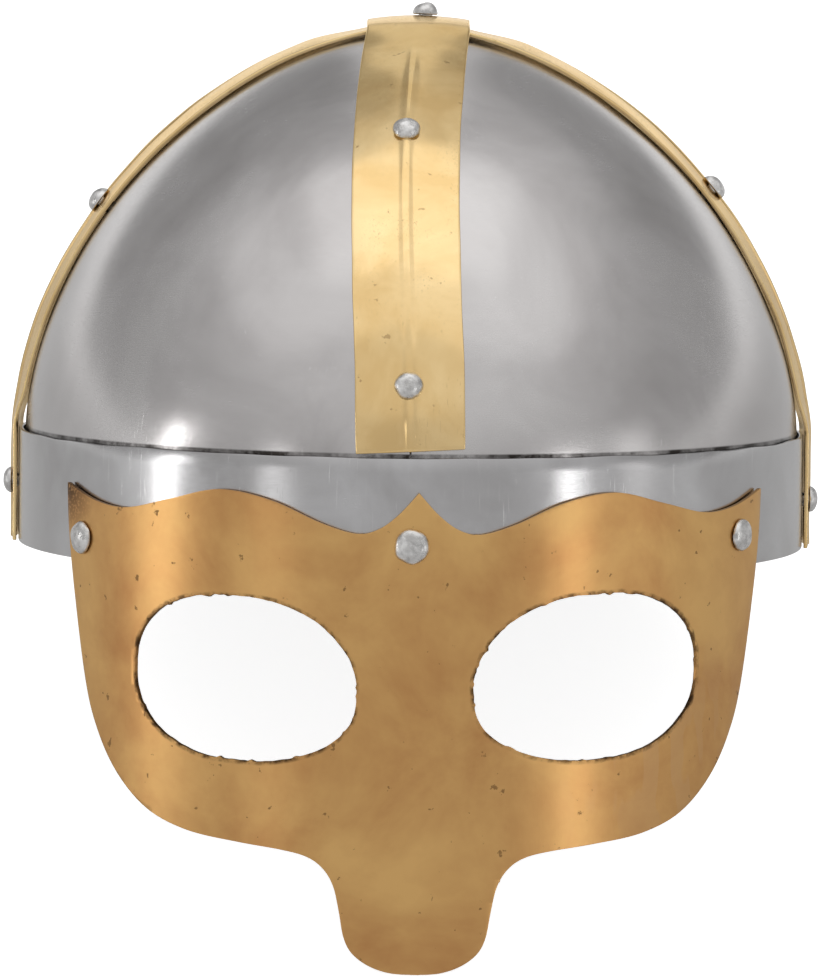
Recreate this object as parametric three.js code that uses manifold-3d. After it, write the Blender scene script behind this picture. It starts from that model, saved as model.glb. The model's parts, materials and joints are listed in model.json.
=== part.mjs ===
// Spangenhelm: a steel dome of four plates under two brass bands, a steel brow band and a
// riveted brass spectacle mask with a nose guard. Millimetres, +Z up.
//
// The helmet is modelled upright, its face towards -Y, with Z = 0 at the lower edge of the
// brow band. It is then leaned back until it rests on the tip of the nose guard and on the
// rear end of the crest band, as it would on a table. Left and right are as seen from the front.

import * as THREE from 'three';
import { mergeVertices } from 'three/addons/utils/BufferGeometryUtils.js';
import Module from 'manifold-3d';

const wasm = await Module();
wasm.setup();

// Driving dimensions.
const HALF_WIDTH = 103;          // brow band, outside, left to right
const HALF_LENGTH = 118;         // brow band, outside, front to back
const BROW_HEIGHT = 29.5;
const STEEL = 1.2;               // thickness of brow band and dome plates
const BRASS = 1.0;               // thickness of bands and mask
const FIT = 0.5;                 // clearance between one layer and the next
const DOME_RISE = 105;           // from the top of the brow band to the point of the dome
const DOME_POWER = 1.76;         // exponent of the dome's outline, slightly pointed
const PLATE_HEM = 1;             // lower edge of the dome plates, inside the brow band
const SEAM_GAP = 0.5;            // between neighbouring plates, under the bands

const BAND_WIDTH = 26.5;
const BAND_RIDGE = 1.5;          // height of the crease along the middle of a band
const FLAT_RIDGE = 0.3;          // what is left of the crease where a band is beaten flat
const CREST_CROSS_RADIUS = 95;   // crest band, curvature from side to side
const CROSS_CROSS_RADIUS = 138;  // cross band, the same
const CREST_SWAY = 2;            // the crest band wanders this far to the right on the brow
const CROWN_SWAY = 0.8;          // and this far to the left at the crown
const SWAY_SKEW = 1.6;           // above 1, the crest band's sway is widest high on the brow
const CROWN_SWAY_ONSET = 6;      // how late the sway at the crown sets in
const STEP_START = 20;           // a band leaves the dome this far above the brow band
const CROSSING_REACH = [0.55, 1.2];  // in band widths, where the crest band climbs the cross band
const FLAT_CROWN_REACH = [0.5, 1.1]; // in band widths, where the crease fades in from the crown
const CREST_FRONT_END = 2.2;     // gap from the brow band up to the crest band's front end

const MASK_SHIFT = 2.2;          // the mask sits slightly to one side
const MASK_HALF_SPAN = 107;      // centre to tip, along the sheet
const NOSE_TIP = -97.4;
const EYE_CENTRE = [46, -24.5];
const EYE_HALF_SIZE = [31.5, 20.3];
const EYE_TILT = THREE.MathUtils.degToRad(3);
const EYE_POWER = 2.15;

const SHANK_RADIUS = 1.8;
const HOLE_RADIUS = 2.15;
const ROVE_RADIUS = 5.5;         // burr washer that the inner end is beaten down on
const ROVE_THICKNESS = 1.2;
const TAIL_LENGTH = 1;           // of the shank's end beaten down on the washer
const TAIL_SPREAD = 0.6;
const SEAT_GAP = 0.3;
const DRILL_LENGTH = 24;
const DOME_TAIL_ROOM = 0.5;      // washer to dome plate, which curves away from it
const BROW_TAIL_ROOM = 0.3;
const CROWN_TAIL_ROOM = 2;

// Rivets on the bands: [degrees up the dome's outline, side, distance across the band].
const BAND_RIVET_HEAD = { headRadius: 3.5, headHeight: 2.8 };
const CREST_RIVETS = {
  rivet_front_upper: [49.5, -1, -1.9],
  rivet_front_lower: [11.5, -1, -0.6],
  rivet_back_upper: [47, 1, 0],
};
const CROSS_RIVETS = {
  rivet_left_upper: [36, -1, 0],
  rivet_right_upper: [39, 1, 0],
};

// Rivets on the brow band: [degrees round from the front, height, head radius, head height].
const BROW_CREST_RIVETS = {
  rivet_back_lower: [180, 14, 3.5, 2.6],
};
const BROW_CROSS_RIVETS = {
  rivet_left_lower: [-90, 15, 3.4, 2.4],
  rivet_right_lower: [90, 12, 3.4, 2.4],
};
const MASK_RIVETS = {
  rivet_mask_left: [-51.9, 5.8, 4.1, 2.2],
  rivet_mask_centre: [0.3, 8, 4.3, 2.4],
  rivet_mask_right: [52.7, 8, 4.1, 2.2],
};
const CROWN_RIVET = { offset: 2.6, tilt: 0.03, headRadius: 3.3, headHeight: 3.1 };

// Fineness of the facets.
const DOME_SEGMENTS = 48;
const DOME_RINGS = 10;
const BROW_SEGMENTS = 36;
const BAND_STEP = THREE.MathUtils.degToRad(6);
const RIVET_SEGMENTS = 10;
const RIVET_RINGS = 3;
const EYE_POINTS = 28;
const BROW_EDGE_POINTS = 16;
const CHEEK_EDGE_POINTS = 28;
const BAND_COLUMNS = [-1, -0.5, 0, 0.5, 1]; // across a band, in half widths
const ARC_STEPS = 400;
const WELD = 1e-4;
const NARROWEST_COLUMN = 0.8;

// Semi-axes of each layer, worked out from the brow band inwards and outwards.
const DOME_HALF_WIDTH = HALF_WIDTH - STEEL - FIT;
const DOME_HALF_LENGTH = HALF_LENGTH - STEEL - FIT;
const BROW_STEP = STEEL + FIT;
const MASK_HALF_WIDTH = HALF_WIDTH + FIT;
const MASK_HALF_LENGTH = HALF_LENGTH + FIT;

const degrees = THREE.MathUtils.degToRad;

const steel = () => new THREE.MeshStandardMaterial({ color: 0xa9a6a5, roughness: 0.35, metalness: 1 });
const bandBrass = () => new THREE.MeshStandardMaterial({ color: 0xd6b478, roughness: 0.25, metalness: 1 });
const maskBrass = () => new THREE.MeshStandardMaterial({ color: 0xb28650, roughness: 0.4, metalness: 1 });
const rivetSteel = () => new THREE.MeshStandardMaterial({ color: 0xc4c2be, roughness: 0.3, metalness: 1 });

// ---- solids ------------------------------------------------------------------------------

/** Keeps only positions and merges shared vertices, so that a geometry is one closed net. */
function weld(geometry) {
  geometry.deleteAttribute('normal');
  geometry.deleteAttribute('uv');
  return mergeVertices(geometry, WELD);
}

/** A closed geometry as a solid that can be cut and joined. */
function toSolid(geometry) {
  const net = weld(geometry);
  return new wasm.Manifold(new wasm.Mesh({
    numProp: 3,
    vertProperties: new Float32Array(net.attributes.position.array),
    triVerts: new Uint32Array(net.index.array),
  }));
}

/** The geometry of a cut or joined solid. */
function toGeometry(solid) {
  const net = solid.getMesh();
  const geometry = new THREE.BufferGeometry();
  geometry.setAttribute('position', new THREE.BufferAttribute(new Float32Array(net.vertProperties), 3));
  geometry.setIndex(new THREE.BufferAttribute(new Uint32Array(net.triVerts), 1));
  geometry.computeVertexNormals();
  return geometry;
}

/** A geometry with its vertices at the given points. */
function geometryThrough(points) {
  const numbers = points.flatMap((point) => point.toArray());
  const geometry = new THREE.BufferGeometry();
  geometry.setAttribute('position', new THREE.Float32BufferAttribute(numbers, 3));
  return geometry;
}

/** A sheet of metal between two grids of points, outer[row][column] and inner[row][column]. */
function sheetBetween(outer, inner) {
  const rows = outer.length;
  const columns = outer[0].length;
  const points = [...outer.flat(), ...inner.flat()];
  const out = (i, j) => i * columns + j;
  const back = (i, j) => rows * columns + i * columns + j;
  const faces = [];
  const quad = (a, b, c, d) => faces.push(a, b, c, a, c, d);
  for (let i = 0; i < rows - 1; i += 1) {
    for (let j = 0; j < columns - 1; j += 1) {
      quad(out(i, j), out(i, j + 1), out(i + 1, j + 1), out(i + 1, j));
      quad(back(i, j), back(i + 1, j), back(i + 1, j + 1), back(i, j + 1));
    }
    quad(out(i, 0), out(i + 1, 0), back(i + 1, 0), back(i, 0));
    quad(out(i + 1, columns - 1), out(i, columns - 1), back(i, columns - 1), back(i + 1, columns - 1));
  }
  for (let j = 0; j < columns - 1; j += 1) {
    quad(out(0, j + 1), out(0, j), back(0, j), back(0, j + 1));
    quad(out(rows - 1, j), out(rows - 1, j + 1), back(rows - 1, j + 1), back(rows - 1, j));
  }
  const geometry = geometryThrough(points);
  geometry.setIndex(faces);
  return geometry;
}

// ---- the dome's outline ------------------------------------------------------------------

/** Point of the outline at an angle from 0, the brow band, to 90 degrees, the point. */
function outlinePoint(halfAxis, rise, angle) {
  const power = 2 / DOME_POWER;
  const radius = halfAxis * Math.max(Math.cos(angle), 0) ** power;
  return new THREE.Vector2(radius, BROW_HEIGHT + rise * Math.sin(angle) ** power);
}

/** Angle at which the outline reaches a height above the brow band. */
function outlineAngle(height) {
  return Math.asin(((height - BROW_HEIGHT) / DOME_RISE) ** (DOME_POWER / 2));
}

/** Outward direction of the outline at one of its points. */
function outlineNormal(halfAxis, point) {
  const side = (point.x / halfAxis) ** (DOME_POWER - 1) / halfAxis;
  const up = (Math.max(point.y - BROW_HEIGHT, 0) / DOME_RISE) ** (DOME_POWER - 1) / DOME_RISE;
  return new THREE.Vector2(side, up).normalize();
}

/** The dome as a solid body from a level below the brow band's top up to its point. */
function domeBody(inset, floor) {
  const profile = [new THREE.Vector2(0, floor), new THREE.Vector2(DOME_HALF_WIDTH - inset, floor)];
  for (let ring = 0; ring <= DOME_RINGS; ring += 1) {
    const angle = (ring / DOME_RINGS) * (Math.PI / 2);
    profile.push(outlinePoint(DOME_HALF_WIDTH - inset, DOME_RISE - inset, angle));
  }
  profile[profile.length - 1].x = 0;
  const lathe = new THREE.LatheGeometry(profile, DOME_SEGMENTS);
  lathe.rotateX(Math.PI / 2);
  lathe.scale(1, (DOME_HALF_LENGTH - inset) / (DOME_HALF_WIDTH - inset), 1);
  return toSolid(lathe);
}

/** One quarter of the dome; sideX and sideY are -1 or 1. */
function domePlate(shell, sideX, sideY) {
  const reach = 2 * HALF_LENGTH;
  const block = new THREE.BoxGeometry(reach, reach, 2 * reach);
  block.translate(sideX * (reach + SEAM_GAP) / 2, sideY * (reach + SEAM_GAP) / 2, 0);
  return shell.intersect(toSolid(block));
}

// ---- bands -------------------------------------------------------------------------------

const easeBetween = (value, low, high) => THREE.MathUtils.smoothstep(value, low, high);

/** Stations of a band along its arch: [distance out from the middle, height, outward, upward]. */
function bandStations(halfAxis, frontEnd, crossing) {
  const stations = [];
  const addHalf = (side, lowEnd, stepsOverBrow) => {
    const half = [];
    if (stepsOverBrow) {
      const out = halfAxis + BROW_STEP + FIT;
      for (const height of [lowEnd, BROW_HEIGHT / 2, BROW_HEIGHT]) {
        half.push({ out, height, normal: new THREE.Vector2(1, 0) });
      }
    }
    const firstAngle = stepsOverBrow ? BAND_STEP : outlineAngle(lowEnd);
    const steps = Math.ceil((Math.PI / 2 - firstAngle) / BAND_STEP);
    for (let step = 0; step < steps; step += 1) {
      const angle = THREE.MathUtils.lerp(firstAngle, Math.PI / 2, step / steps);
      const foot = outlinePoint(halfAxis, DOME_RISE, angle);
      half.push(standOff(foot, halfAxis, stepsOverBrow, crossing));
    }
    half.forEach((station) => { station.side = side; });
    return half;
  };
  stations.push(...addHalf(-1, frontEnd ?? 0, frontEnd === undefined));
  const top = standOff(new THREE.Vector2(0, BROW_HEIGHT + DOME_RISE), halfAxis, false, crossing);
  top.side = 1;
  stations.push(top);
  stations.push(...addHalf(1, 0, true).reverse());
  return stations;
}

/** One station above the dome: its place and direction, lifted clear of what it crosses. */
function standOff(foot, halfAxis, stepsOverBrow, crossing) {
  const normal = foot.x > 0 ? outlineNormal(halfAxis, foot) : new THREE.Vector2(0, 1);
  const nearBrow = 1 - easeBetween(foot.y, BROW_HEIGHT, BROW_HEIGHT + STEP_START);
  const [inner, outer] = CROSSING_REACH;
  const nearTop = 1 - easeBetween(foot.x, BAND_WIDTH * inner, BAND_WIDTH * outer);
  const lift = FIT + (stepsOverBrow ? BROW_STEP * nearBrow : 0) + crossing * nearTop;
  return {
    out: foot.x + normal.x * lift,
    height: foot.y + normal.y * lift,
    normal,
  };
}

/** How far the crest band's middle wanders to one side at a station, front half only. */
function crestSway(station) {
  const climb = THREE.MathUtils.clamp((station.height - BROW_HEIGHT) / DOME_RISE, 0, 1);
  const wander = station.side < 0 ? CREST_SWAY * Math.sin(Math.PI * climb ** SWAY_SKEW) : 0;
  return CROWN_SWAY * climb ** CROWN_SWAY_ONSET - wander;
}

/** Height of the crease at a station: full on the dome, beaten flat at the crown and brow. */
function ridgeAt(station) {
  const [inner, outer] = FLAT_CROWN_REACH;
  const clearOfTop = easeBetween(station.out, BAND_WIDTH * inner, BAND_WIDTH * outer);
  const clearOfBrow = easeBetween(station.height, BROW_HEIGHT, BROW_HEIGHT + STEP_START);
  return THREE.MathUtils.lerp(FLAT_RIDGE, BAND_RIDGE, Math.min(clearOfTop, clearOfBrow));
}

/** A brass band bent over the dome, in the plane of one of its arches. */
function archBand(stations, crossRadius, place, sway) {
  const layer = (depth) => stations.map((station) => BAND_COLUMNS.map((column) => {
    const across = column * BAND_WIDTH / 2;
    const droop = across ** 2 / (2 * crossRadius);
    const rise = depth - droop + ridgeAt(station) * (1 - Math.abs(column));
    const out = station.side * (station.out + station.normal.x * rise);
    return place(out, across + sway(station), station.height + station.normal.y * rise);
  }));
  return sheetBetween(layer(BRASS), layer(0));
}

// ---- mask --------------------------------------------------------------------------------

/** Brow edge of the mask laid flat, from the centre peak out to the tip. */
const browEdge = new THREE.SplineCurve([
  [0, 21.1], [5, 15.6], [10, 12], [15.4, 11], [24, 13.4], [37, 18.6], [51, 20.7],
  [66, 17.6], [81, 14.6], [94, 15.6], [MASK_HALF_SPAN, 19.2],
].map(([x, y]) => new THREE.Vector2(x, y))).getPoints(BROW_EDGE_POINTS);

/** Lower edge of the mask laid flat, from the nose tip out round the cheek to the tip. */
const cheekEdge = new THREE.SplineCurve([
  [0, NOSE_TIP], [6, -97], [11.2, -95.3], [15.3, -92.3], [17.4, -88.3], [18.6, -82], [20, -76],
  [22.5, -71.8], [26.5, -69], [33, -67.5], [45, -66.2], [60, -64.3], [73, -60], [84, -52], [92, -42],
  [97.5, -30], [103.6, -6], [106.2, 8], [MASK_HALF_SPAN, 17.6],
].map(([x, y]) => new THREE.Vector2(x, y))).getPoints(CHEEK_EDGE_POINTS);

/** Upper or lower rim of the eye opening, from its inner to its outer corner. */
function eyeRim(sign) {
  const rim = [];
  for (let i = 0; i <= EYE_POINTS / 2; i += 1) {
    const angle = Math.PI * (1 - (2 * i) / EYE_POINTS);
    const c = Math.cos(angle);
    const x = EYE_HALF_SIZE[0] * Math.sign(c) * Math.abs(c) ** (2 / EYE_POWER);
    const y = EYE_HALF_SIZE[1] * Math.abs(Math.sin(angle)) ** (2 / EYE_POWER);
    rim.push(new THREE.Vector2(EYE_CENTRE[0] + x, EYE_CENTRE[1] + sign * y + x * Math.tan(EYE_TILT)));
  }
  return rim;
}
const upperRim = eyeRim(1);
const lowerRim = eyeRim(-1);

/** Height of a line of points at x, or null past its ends. */
function heightAt(line, x) {
  for (let i = 0; i < line.length - 1; i += 1) {
    if (x >= line[i].x && x <= line[i + 1].x) {
      return THREE.MathUtils.lerp(line[i].y, line[i + 1].y, (x - line[i].x) / (line[i + 1].x - line[i].x));
    }
  }
  return null;
}

/** Heights of the mask's four edges at a distance from its middle: chin, eye low, eye high, brow. */
function maskColumn(distance) {
  const chin = heightAt(cheekEdge, distance);
  const brow = heightAt(browEdge, distance);
  const innerCorner = upperRim[0];
  const outerCorner = upperRim[upperRim.length - 1];
  let low = heightAt(lowerRim, distance);
  let high = heightAt(upperRim, distance);
  if (low === null) {
    const tipMiddle = (cheekEdge[cheekEdge.length - 1].y + browEdge[browEdge.length - 1].y) / 2;
    const beyond = Math.max((distance - outerCorner.x) / (MASK_HALF_SPAN - outerCorner.x), 0);
    low = distance < innerCorner.x ? innerCorner.y : THREE.MathUtils.lerp(outerCorner.y, tipMiddle, beyond);
    high = low;
  }
  return [chin, low, high, brow];
}

/** Distances from the middle at which the mask has a column of points, on both sides. */
function maskDistances() {
  const fixed = [0, upperRim[0].x, upperRim[upperRim.length - 1].x, MASK_HALF_SPAN];
  const kept = [...fixed];
  for (const { x } of [...cheekEdge, ...upperRim, ...browEdge]) {
    if (kept.every((other) => Math.abs(other - x) > NARROWEST_COLUMN)) {
      kept.push(x);
    }
  }
  kept.sort((a, b) => a - b);
  return [...kept.slice(1).reverse().map((x) => -x), ...kept];
}

/** Angle round the brow oval that lies a given length of arc from the front centre. */
function angleAtArc(length) {
  const stride = Math.PI / 2 / ARC_STEPS;
  let travelled = 0;
  for (let i = 0; i < ARC_STEPS; i += 1) {
    const middle = (i + 0.5) * stride;
    const across = MASK_HALF_WIDTH * Math.cos(middle);
    const along = MASK_HALF_LENGTH * Math.sin(middle);
    const piece = stride * Math.hypot(across, along);
    if (travelled + piece > Math.abs(length)) {
      return Math.sign(length) * (i + (Math.abs(length) - travelled) / piece) * stride;
    }
    travelled += piece;
  }
  return Math.sign(length) * Math.PI / 2;
}

/** Point on or off an oval round the helmet: angle 0 is the front, positive to +X. */
function ovalPoint(halfWidth, halfLength, angle, height, off) {
  const [across, along] = [Math.sin(angle), -Math.cos(angle)];
  const normal = new THREE.Vector3(across / halfWidth, along / halfLength, 0).normalize();
  const point = new THREE.Vector3(halfWidth * across, halfLength * along, height);
  return point.addScaledVector(normal, off);
}

/** The mask: a sheet bent round the brow band, with a column of points at each distance. */
function maskSheet() {
  const corners = [];
  const columns = maskDistances().map((distance) => {
    const angle = angleAtArc(distance + MASK_SHIFT);
    return maskColumn(Math.abs(distance)).map((height) => [BRASS, 0].map(
      (off) => ovalPoint(MASK_HALF_WIDTH, MASK_HALF_LENGTH, angle, height, off),
    ));
  });
  const quad = (a, b, c, d) => corners.push(a, b, c, a, c, d);
  const end = (column, turn) => {
    for (const row of [0, 2]) {
      const ring = [column[row][0], column[row][1], column[row + 1][1], column[row + 1][0]];
      quad(...(turn ? ring.reverse() : ring));
    }
  };
  for (let i = 0; i < columns.length - 1; i += 1) {
    const [here, next] = [columns[i], columns[i + 1]];
    for (const row of [0, 2]) {
      quad(here[row][0], next[row][0], next[row + 1][0], here[row + 1][0]);
      quad(here[row][1], here[row + 1][1], next[row + 1][1], next[row][1]);
    }
    const open = [here, next].some((column) => column[1][0].distanceTo(column[2][0]) > 10 * WELD);
    for (const row of open ? [0, 1, 2, 3] : [0, 3]) {
      const wall = [here[row][0], here[row][1], next[row][1], next[row][0]];
      quad(...(row % 2 ? wall.reverse() : wall));
    }
  }
  end(columns[0], true);
  end(columns[columns.length - 1], false);
  return geometryThrough(corners);
}

// ---- rivets ------------------------------------------------------------------------------

/** Rivet along +Z, its head's underside at 0 and its inner washer grip below that. */
function rivetGeometry(headRadius, headHeight, grip) {
  const roveTop = -grip;
  const roveFoot = roveTop - ROVE_THICKNESS;
  const profile = [
    [0, roveFoot - TAIL_LENGTH],
    [SHANK_RADIUS, roveFoot - TAIL_SPREAD],
    [SHANK_RADIUS + TAIL_SPREAD, roveFoot],
    [ROVE_RADIUS, roveFoot],
    [ROVE_RADIUS, roveTop],
    [SHANK_RADIUS, roveTop],
    [SHANK_RADIUS, 0],
  ].map(([x, y]) => new THREE.Vector2(x, y));
  for (let ring = 0; ring <= RIVET_RINGS; ring += 1) {
    const angle = (ring / RIVET_RINGS) * (Math.PI / 2);
    profile.push(new THREE.Vector2(headRadius * Math.cos(angle), headHeight * Math.sin(angle)));
  }
  profile[profile.length - 1].x = 0;
  const lathe = new THREE.LatheGeometry(profile, RIVET_SEGMENTS);
  lathe.rotateX(Math.PI / 2);
  return lathe;
}

/** A straight drill along +Z, long enough for every layer of metal. */
function drillSolid(rivet) {
  const drill = new THREE.CylinderGeometry(HOLE_RADIUS, HOLE_RADIUS, DRILL_LENGTH, RIVET_SEGMENTS);
  drill.rotateX(Math.PI / 2);
  drill.applyMatrix4(poseOf(rivet));
  return toSolid(drill);
}

/** The place and direction of a rivet as a matrix. */
function poseOf({ seat, axis }) {
  const turn = new THREE.Quaternion().setFromUnitVectors(new THREE.Vector3(0, 0, 1), axis);
  return new THREE.Matrix4().compose(seat, turn, new THREE.Vector3(1, 1, 1));
}

/** A rivet through a band on the dome, at an angle up its outline; place maps to 3-D. */
function bandRivet([name, [angle, side, across]], halfAxis, place) {
  const foot = outlinePoint(halfAxis, DOME_RISE, degrees(angle));
  const station = standOff(foot, halfAxis, false, 0);
  const rise = BRASS + ridgeAt(station) + SEAT_GAP;
  const out = side * (station.out + station.normal.x * rise);
  const seat = place(out, across, station.height + station.normal.y * rise);
  const axis = place(side * station.normal.x, 0, station.normal.y);
  const grip = rise + FIT + STEEL + SEAT_GAP + DOME_TAIL_ROOM;
  return { name, seat, axis, grip, ...BAND_RIVET_HEAD };
}

/** A rivet through the brow band and what lies on it. */
function browRivet([name, [angle, height, headRadius, headHeight]], layerTop) {
  const off = layerTop + SEAT_GAP;
  const seat = ovalPoint(HALF_WIDTH, HALF_LENGTH, degrees(angle), height, off);
  const inside = ovalPoint(HALF_WIDTH, HALF_LENGTH, degrees(angle), height, off - 1);
  const grip = off + STEEL + FIT + STEEL + SEAT_GAP + BROW_TAIL_ROOM;
  return { name, seat, axis: seat.clone().sub(inside), grip, headRadius, headHeight };
}

// ---- assembly ----------------------------------------------------------------------------

const alongLength = (out, across, height) => new THREE.Vector3(across, out, height);
const alongWidth = (out, across, height) => new THREE.Vector3(out, -across, height);

const bandOnBrow = FIT + BRASS + FLAT_RIDGE;
const maskOnBrow = FIT + BRASS;
const crownLift = BRASS + FLAT_RIDGE + FIT;
const crown = standOff(new THREE.Vector2(0, BROW_HEIGHT + DOME_RISE), DOME_HALF_WIDTH, false, crownLift);

const rivets = [
  ...Object.entries(CREST_RIVETS).map((entry) => bandRivet(entry, DOME_HALF_LENGTH, alongLength)),
  ...Object.entries(CROSS_RIVETS).map((entry) => bandRivet(entry, DOME_HALF_WIDTH, alongWidth)),
  ...Object.entries(BROW_CREST_RIVETS).map((entry) => browRivet(entry, bandOnBrow)),
  ...Object.entries(BROW_CROSS_RIVETS).map((entry) => browRivet(entry, bandOnBrow)),
  ...Object.entries(MASK_RIVETS).map((entry) => browRivet(entry, maskOnBrow)),
  {
    name: 'rivet_crown',
    seat: new THREE.Vector3(CROWN_RIVET.offset, 0, crown.height + BRASS + FLAT_RIDGE + SEAT_GAP),
    axis: new THREE.Vector3(CROWN_RIVET.tilt, 0, 1).normalize(),
    grip: 2 * (BRASS + FLAT_RIDGE + FIT + SEAT_GAP) + STEEL + CROWN_TAIL_ROOM,
    headRadius: CROWN_RIVET.headRadius,
    headHeight: CROWN_RIVET.headHeight,
  },
];

/** Cuts the holes of the named rivets out of a solid. */
function drilled(solid, names) {
  const drills = rivets.filter((rivet) => names.includes(rivet.name)).map(drillSolid);
  return drills.reduce((left, drill) => left.subtract(drill), solid);
}

const upright = new THREE.Group();

/** Adds one piece to the helmet. */
function addPiece(name, geometry, material) {
  const mesh = new THREE.Mesh(geometry, material);
  mesh.name = name;
  upright.add(mesh);
  return mesh;
}

const maskRivets = Object.keys(MASK_RIVETS);
const crestOnBrow = Object.keys(BROW_CREST_RIVETS);
const crossOnBrow = Object.keys(BROW_CROSS_RIVETS);
const allRivets = rivets.map((rivet) => rivet.name);

// Brow band: a plain steel hoop.
const hoop = new THREE.Shape();
hoop.absellipse(0, 0, HALF_WIDTH, HALF_LENGTH, 0, 2 * Math.PI);
const inside = new THREE.Path();
inside.absellipse(0, 0, HALF_WIDTH - STEEL, HALF_LENGTH - STEEL, 0, 2 * Math.PI);
hoop.holes.push(inside);
const hoopOptions = { depth: BROW_HEIGHT, bevelEnabled: false, curveSegments: BROW_SEGMENTS };
const browBand = toSolid(new THREE.ExtrudeGeometry(hoop, hoopOptions));
const browHoles = [...maskRivets, ...crestOnBrow, ...crossOnBrow];
addPiece('brow_band', toGeometry(drilled(browBand, browHoles)), steel());

// Dome plates, butted under the bands.
const domeShell = domeBody(0, PLATE_HEM).subtract(domeBody(STEEL, PLATE_HEM - 1));
for (const [front, sideY] of [['front', -1], ['back', 1]]) {
  for (const [hand, sideX] of [['left', -1], ['right', 1]]) {
    const plate = drilled(domePlate(domeShell, sideX, sideY), allRivets);
    addPiece(`plate_${front}_${hand}`, toGeometry(plate), steel());
  }
}

// Cross band, ear to ear, and crest band over it, from the brow to the nape.
const crossStations = bandStations(DOME_HALF_WIDTH, undefined, 0);
const crossBand = toSolid(archBand(crossStations, CROSS_CROSS_RADIUS, alongWidth, () => 0));
const crossHoles = ['rivet_crown', ...Object.keys(CROSS_RIVETS), ...crossOnBrow];
addPiece('cross_band', toGeometry(drilled(crossBand, crossHoles)), bandBrass());

const crestStations = bandStations(DOME_HALF_LENGTH, BROW_HEIGHT + CREST_FRONT_END, crownLift);
const crestBand = toSolid(archBand(crestStations, CREST_CROSS_RADIUS, alongLength, crestSway));
const crestHoles = ['rivet_crown', ...Object.keys(CREST_RIVETS), ...crestOnBrow];
addPiece('crest_band', toGeometry(drilled(crestBand, crestHoles)), bandBrass());

addPiece('face_mask', toGeometry(drilled(toSolid(maskSheet()), maskRivets)), maskBrass());

for (const rivet of rivets) {
  const solid = toSolid(rivetGeometry(rivet.headRadius, rivet.headHeight, rivet.grip));
  const piece = addPiece(rivet.name, toGeometry(solid), rivetSteel());
  piece.applyMatrix4(poseOf(rivet));
}

// At rest: leaned back on the nose guard's tip and the crest band's rear end.
const rearReach = HALF_LENGTH + FIT + BRASS + FLAT_RIDGE;
upright.rotation.x = -Math.atan2(-NOSE_TIP, MASK_HALF_LENGTH + rearReach);
const helmet = new THREE.Group();
helmet.add(upright);
helmet.updateMatrixWorld(true);
const extent = new THREE.Box3().setFromObject(helmet, true);
const middle = extent.getCenter(new THREE.Vector3());
upright.position.set(-middle.x, -middle.y, -extent.min.z);

export default helmet;
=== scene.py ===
"""Looks of a spangenhelm: a steel dome under crossed brass bands, a steel brow band and a
brass spectacle mask with a nose guard.

Every piece is modelled upright in millimetres, with its face towards -Y and zero at the lower
edge of the brow band. It is then leaned back onto the surface and brought to metres.
"""

import json
import logging
import math
from contextlib import contextmanager
from dataclasses import dataclass, field
from enum import Enum
from typing import Callable, Iterator, Sequence

import bmesh
import bpy
from mathutils import Matrix, Vector, noise


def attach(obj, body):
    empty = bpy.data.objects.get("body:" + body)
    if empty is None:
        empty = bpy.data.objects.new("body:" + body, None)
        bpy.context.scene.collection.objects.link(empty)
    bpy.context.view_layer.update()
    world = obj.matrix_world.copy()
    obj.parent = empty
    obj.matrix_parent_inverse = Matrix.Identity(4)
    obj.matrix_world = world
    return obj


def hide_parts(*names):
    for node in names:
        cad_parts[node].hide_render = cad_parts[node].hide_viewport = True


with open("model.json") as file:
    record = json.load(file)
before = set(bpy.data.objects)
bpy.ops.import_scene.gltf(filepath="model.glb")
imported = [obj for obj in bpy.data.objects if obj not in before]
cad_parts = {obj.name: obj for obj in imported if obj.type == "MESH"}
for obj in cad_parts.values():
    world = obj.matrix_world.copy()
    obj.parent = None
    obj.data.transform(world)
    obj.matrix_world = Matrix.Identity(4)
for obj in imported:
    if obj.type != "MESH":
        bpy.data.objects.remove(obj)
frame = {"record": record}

LOG = logging.getLogger("spangenhelm")
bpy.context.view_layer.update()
METRE = 1000.0
SHARP_EDGE = math.radians(50)
QUARTER_TURN = math.pi / 2

Colour = tuple[float, float, float]
Material = bpy.types.Material
Piece = bpy.types.Object
Point = tuple[float, float]
Socket = bpy.types.NodeSocket
Span = tuple[float, float]
Triple = tuple[float, float, float]


class Hand(Enum):
    """Left or right as seen from the front, with its sign along X."""

    LEFT = -1
    RIGHT = 1


class End(Enum):
    """Front or back, with its sign along Y."""

    FRONT = -1
    BACK = 1


class Half(Enum):
    """Half of a band's arch: the first ends at the left or the front, the last opposite."""

    FIRST = -1
    LAST = 1


class Run(Enum):
    """Which way a band runs over the dome."""

    EAR_TO_EAR = "ear_to_ear"
    FRONT_TO_BACK = "front_to_back"


class Combine(Enum):
    """How two values of a finish are put together."""

    ADD = "ADD"
    MULTIPLY = "MULTIPLY"
    LARGER = "MAXIMUM"


@dataclass(frozen=True)
class HelmetSizes:
    """Driving sizes of the whole helmet, in millimetres."""

    half_width: float = 103.0
    half_length: float = 118.0
    brow_height: float = 29.5
    steel: float = 1.2
    brass: float = 1.0
    fit: float = 0.5
    dome_rise: float = 105.0
    dome_power: float = 1.76
    plate_hem: float = 1.0
    seam_gap: float = 0.5
    band_width: float = 26.5

    @property
    def dome_half_width(self) -> float:
        """Half width of the dome where it leaves the brow band."""
        return self.half_width - self.steel - self.fit

    @property
    def dome_half_length(self) -> float:
        """Half length of the dome where it leaves the brow band."""
        return self.half_length - self.steel - self.fit

    @property
    def brow_step(self) -> float:
        """How far the brow band stands out from the dome."""
        return self.steel + self.fit

    @property
    def top(self) -> float:
        """Height of the dome's point."""
        return self.brow_height + self.dome_rise


SIZES = HelmetSizes()


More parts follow.
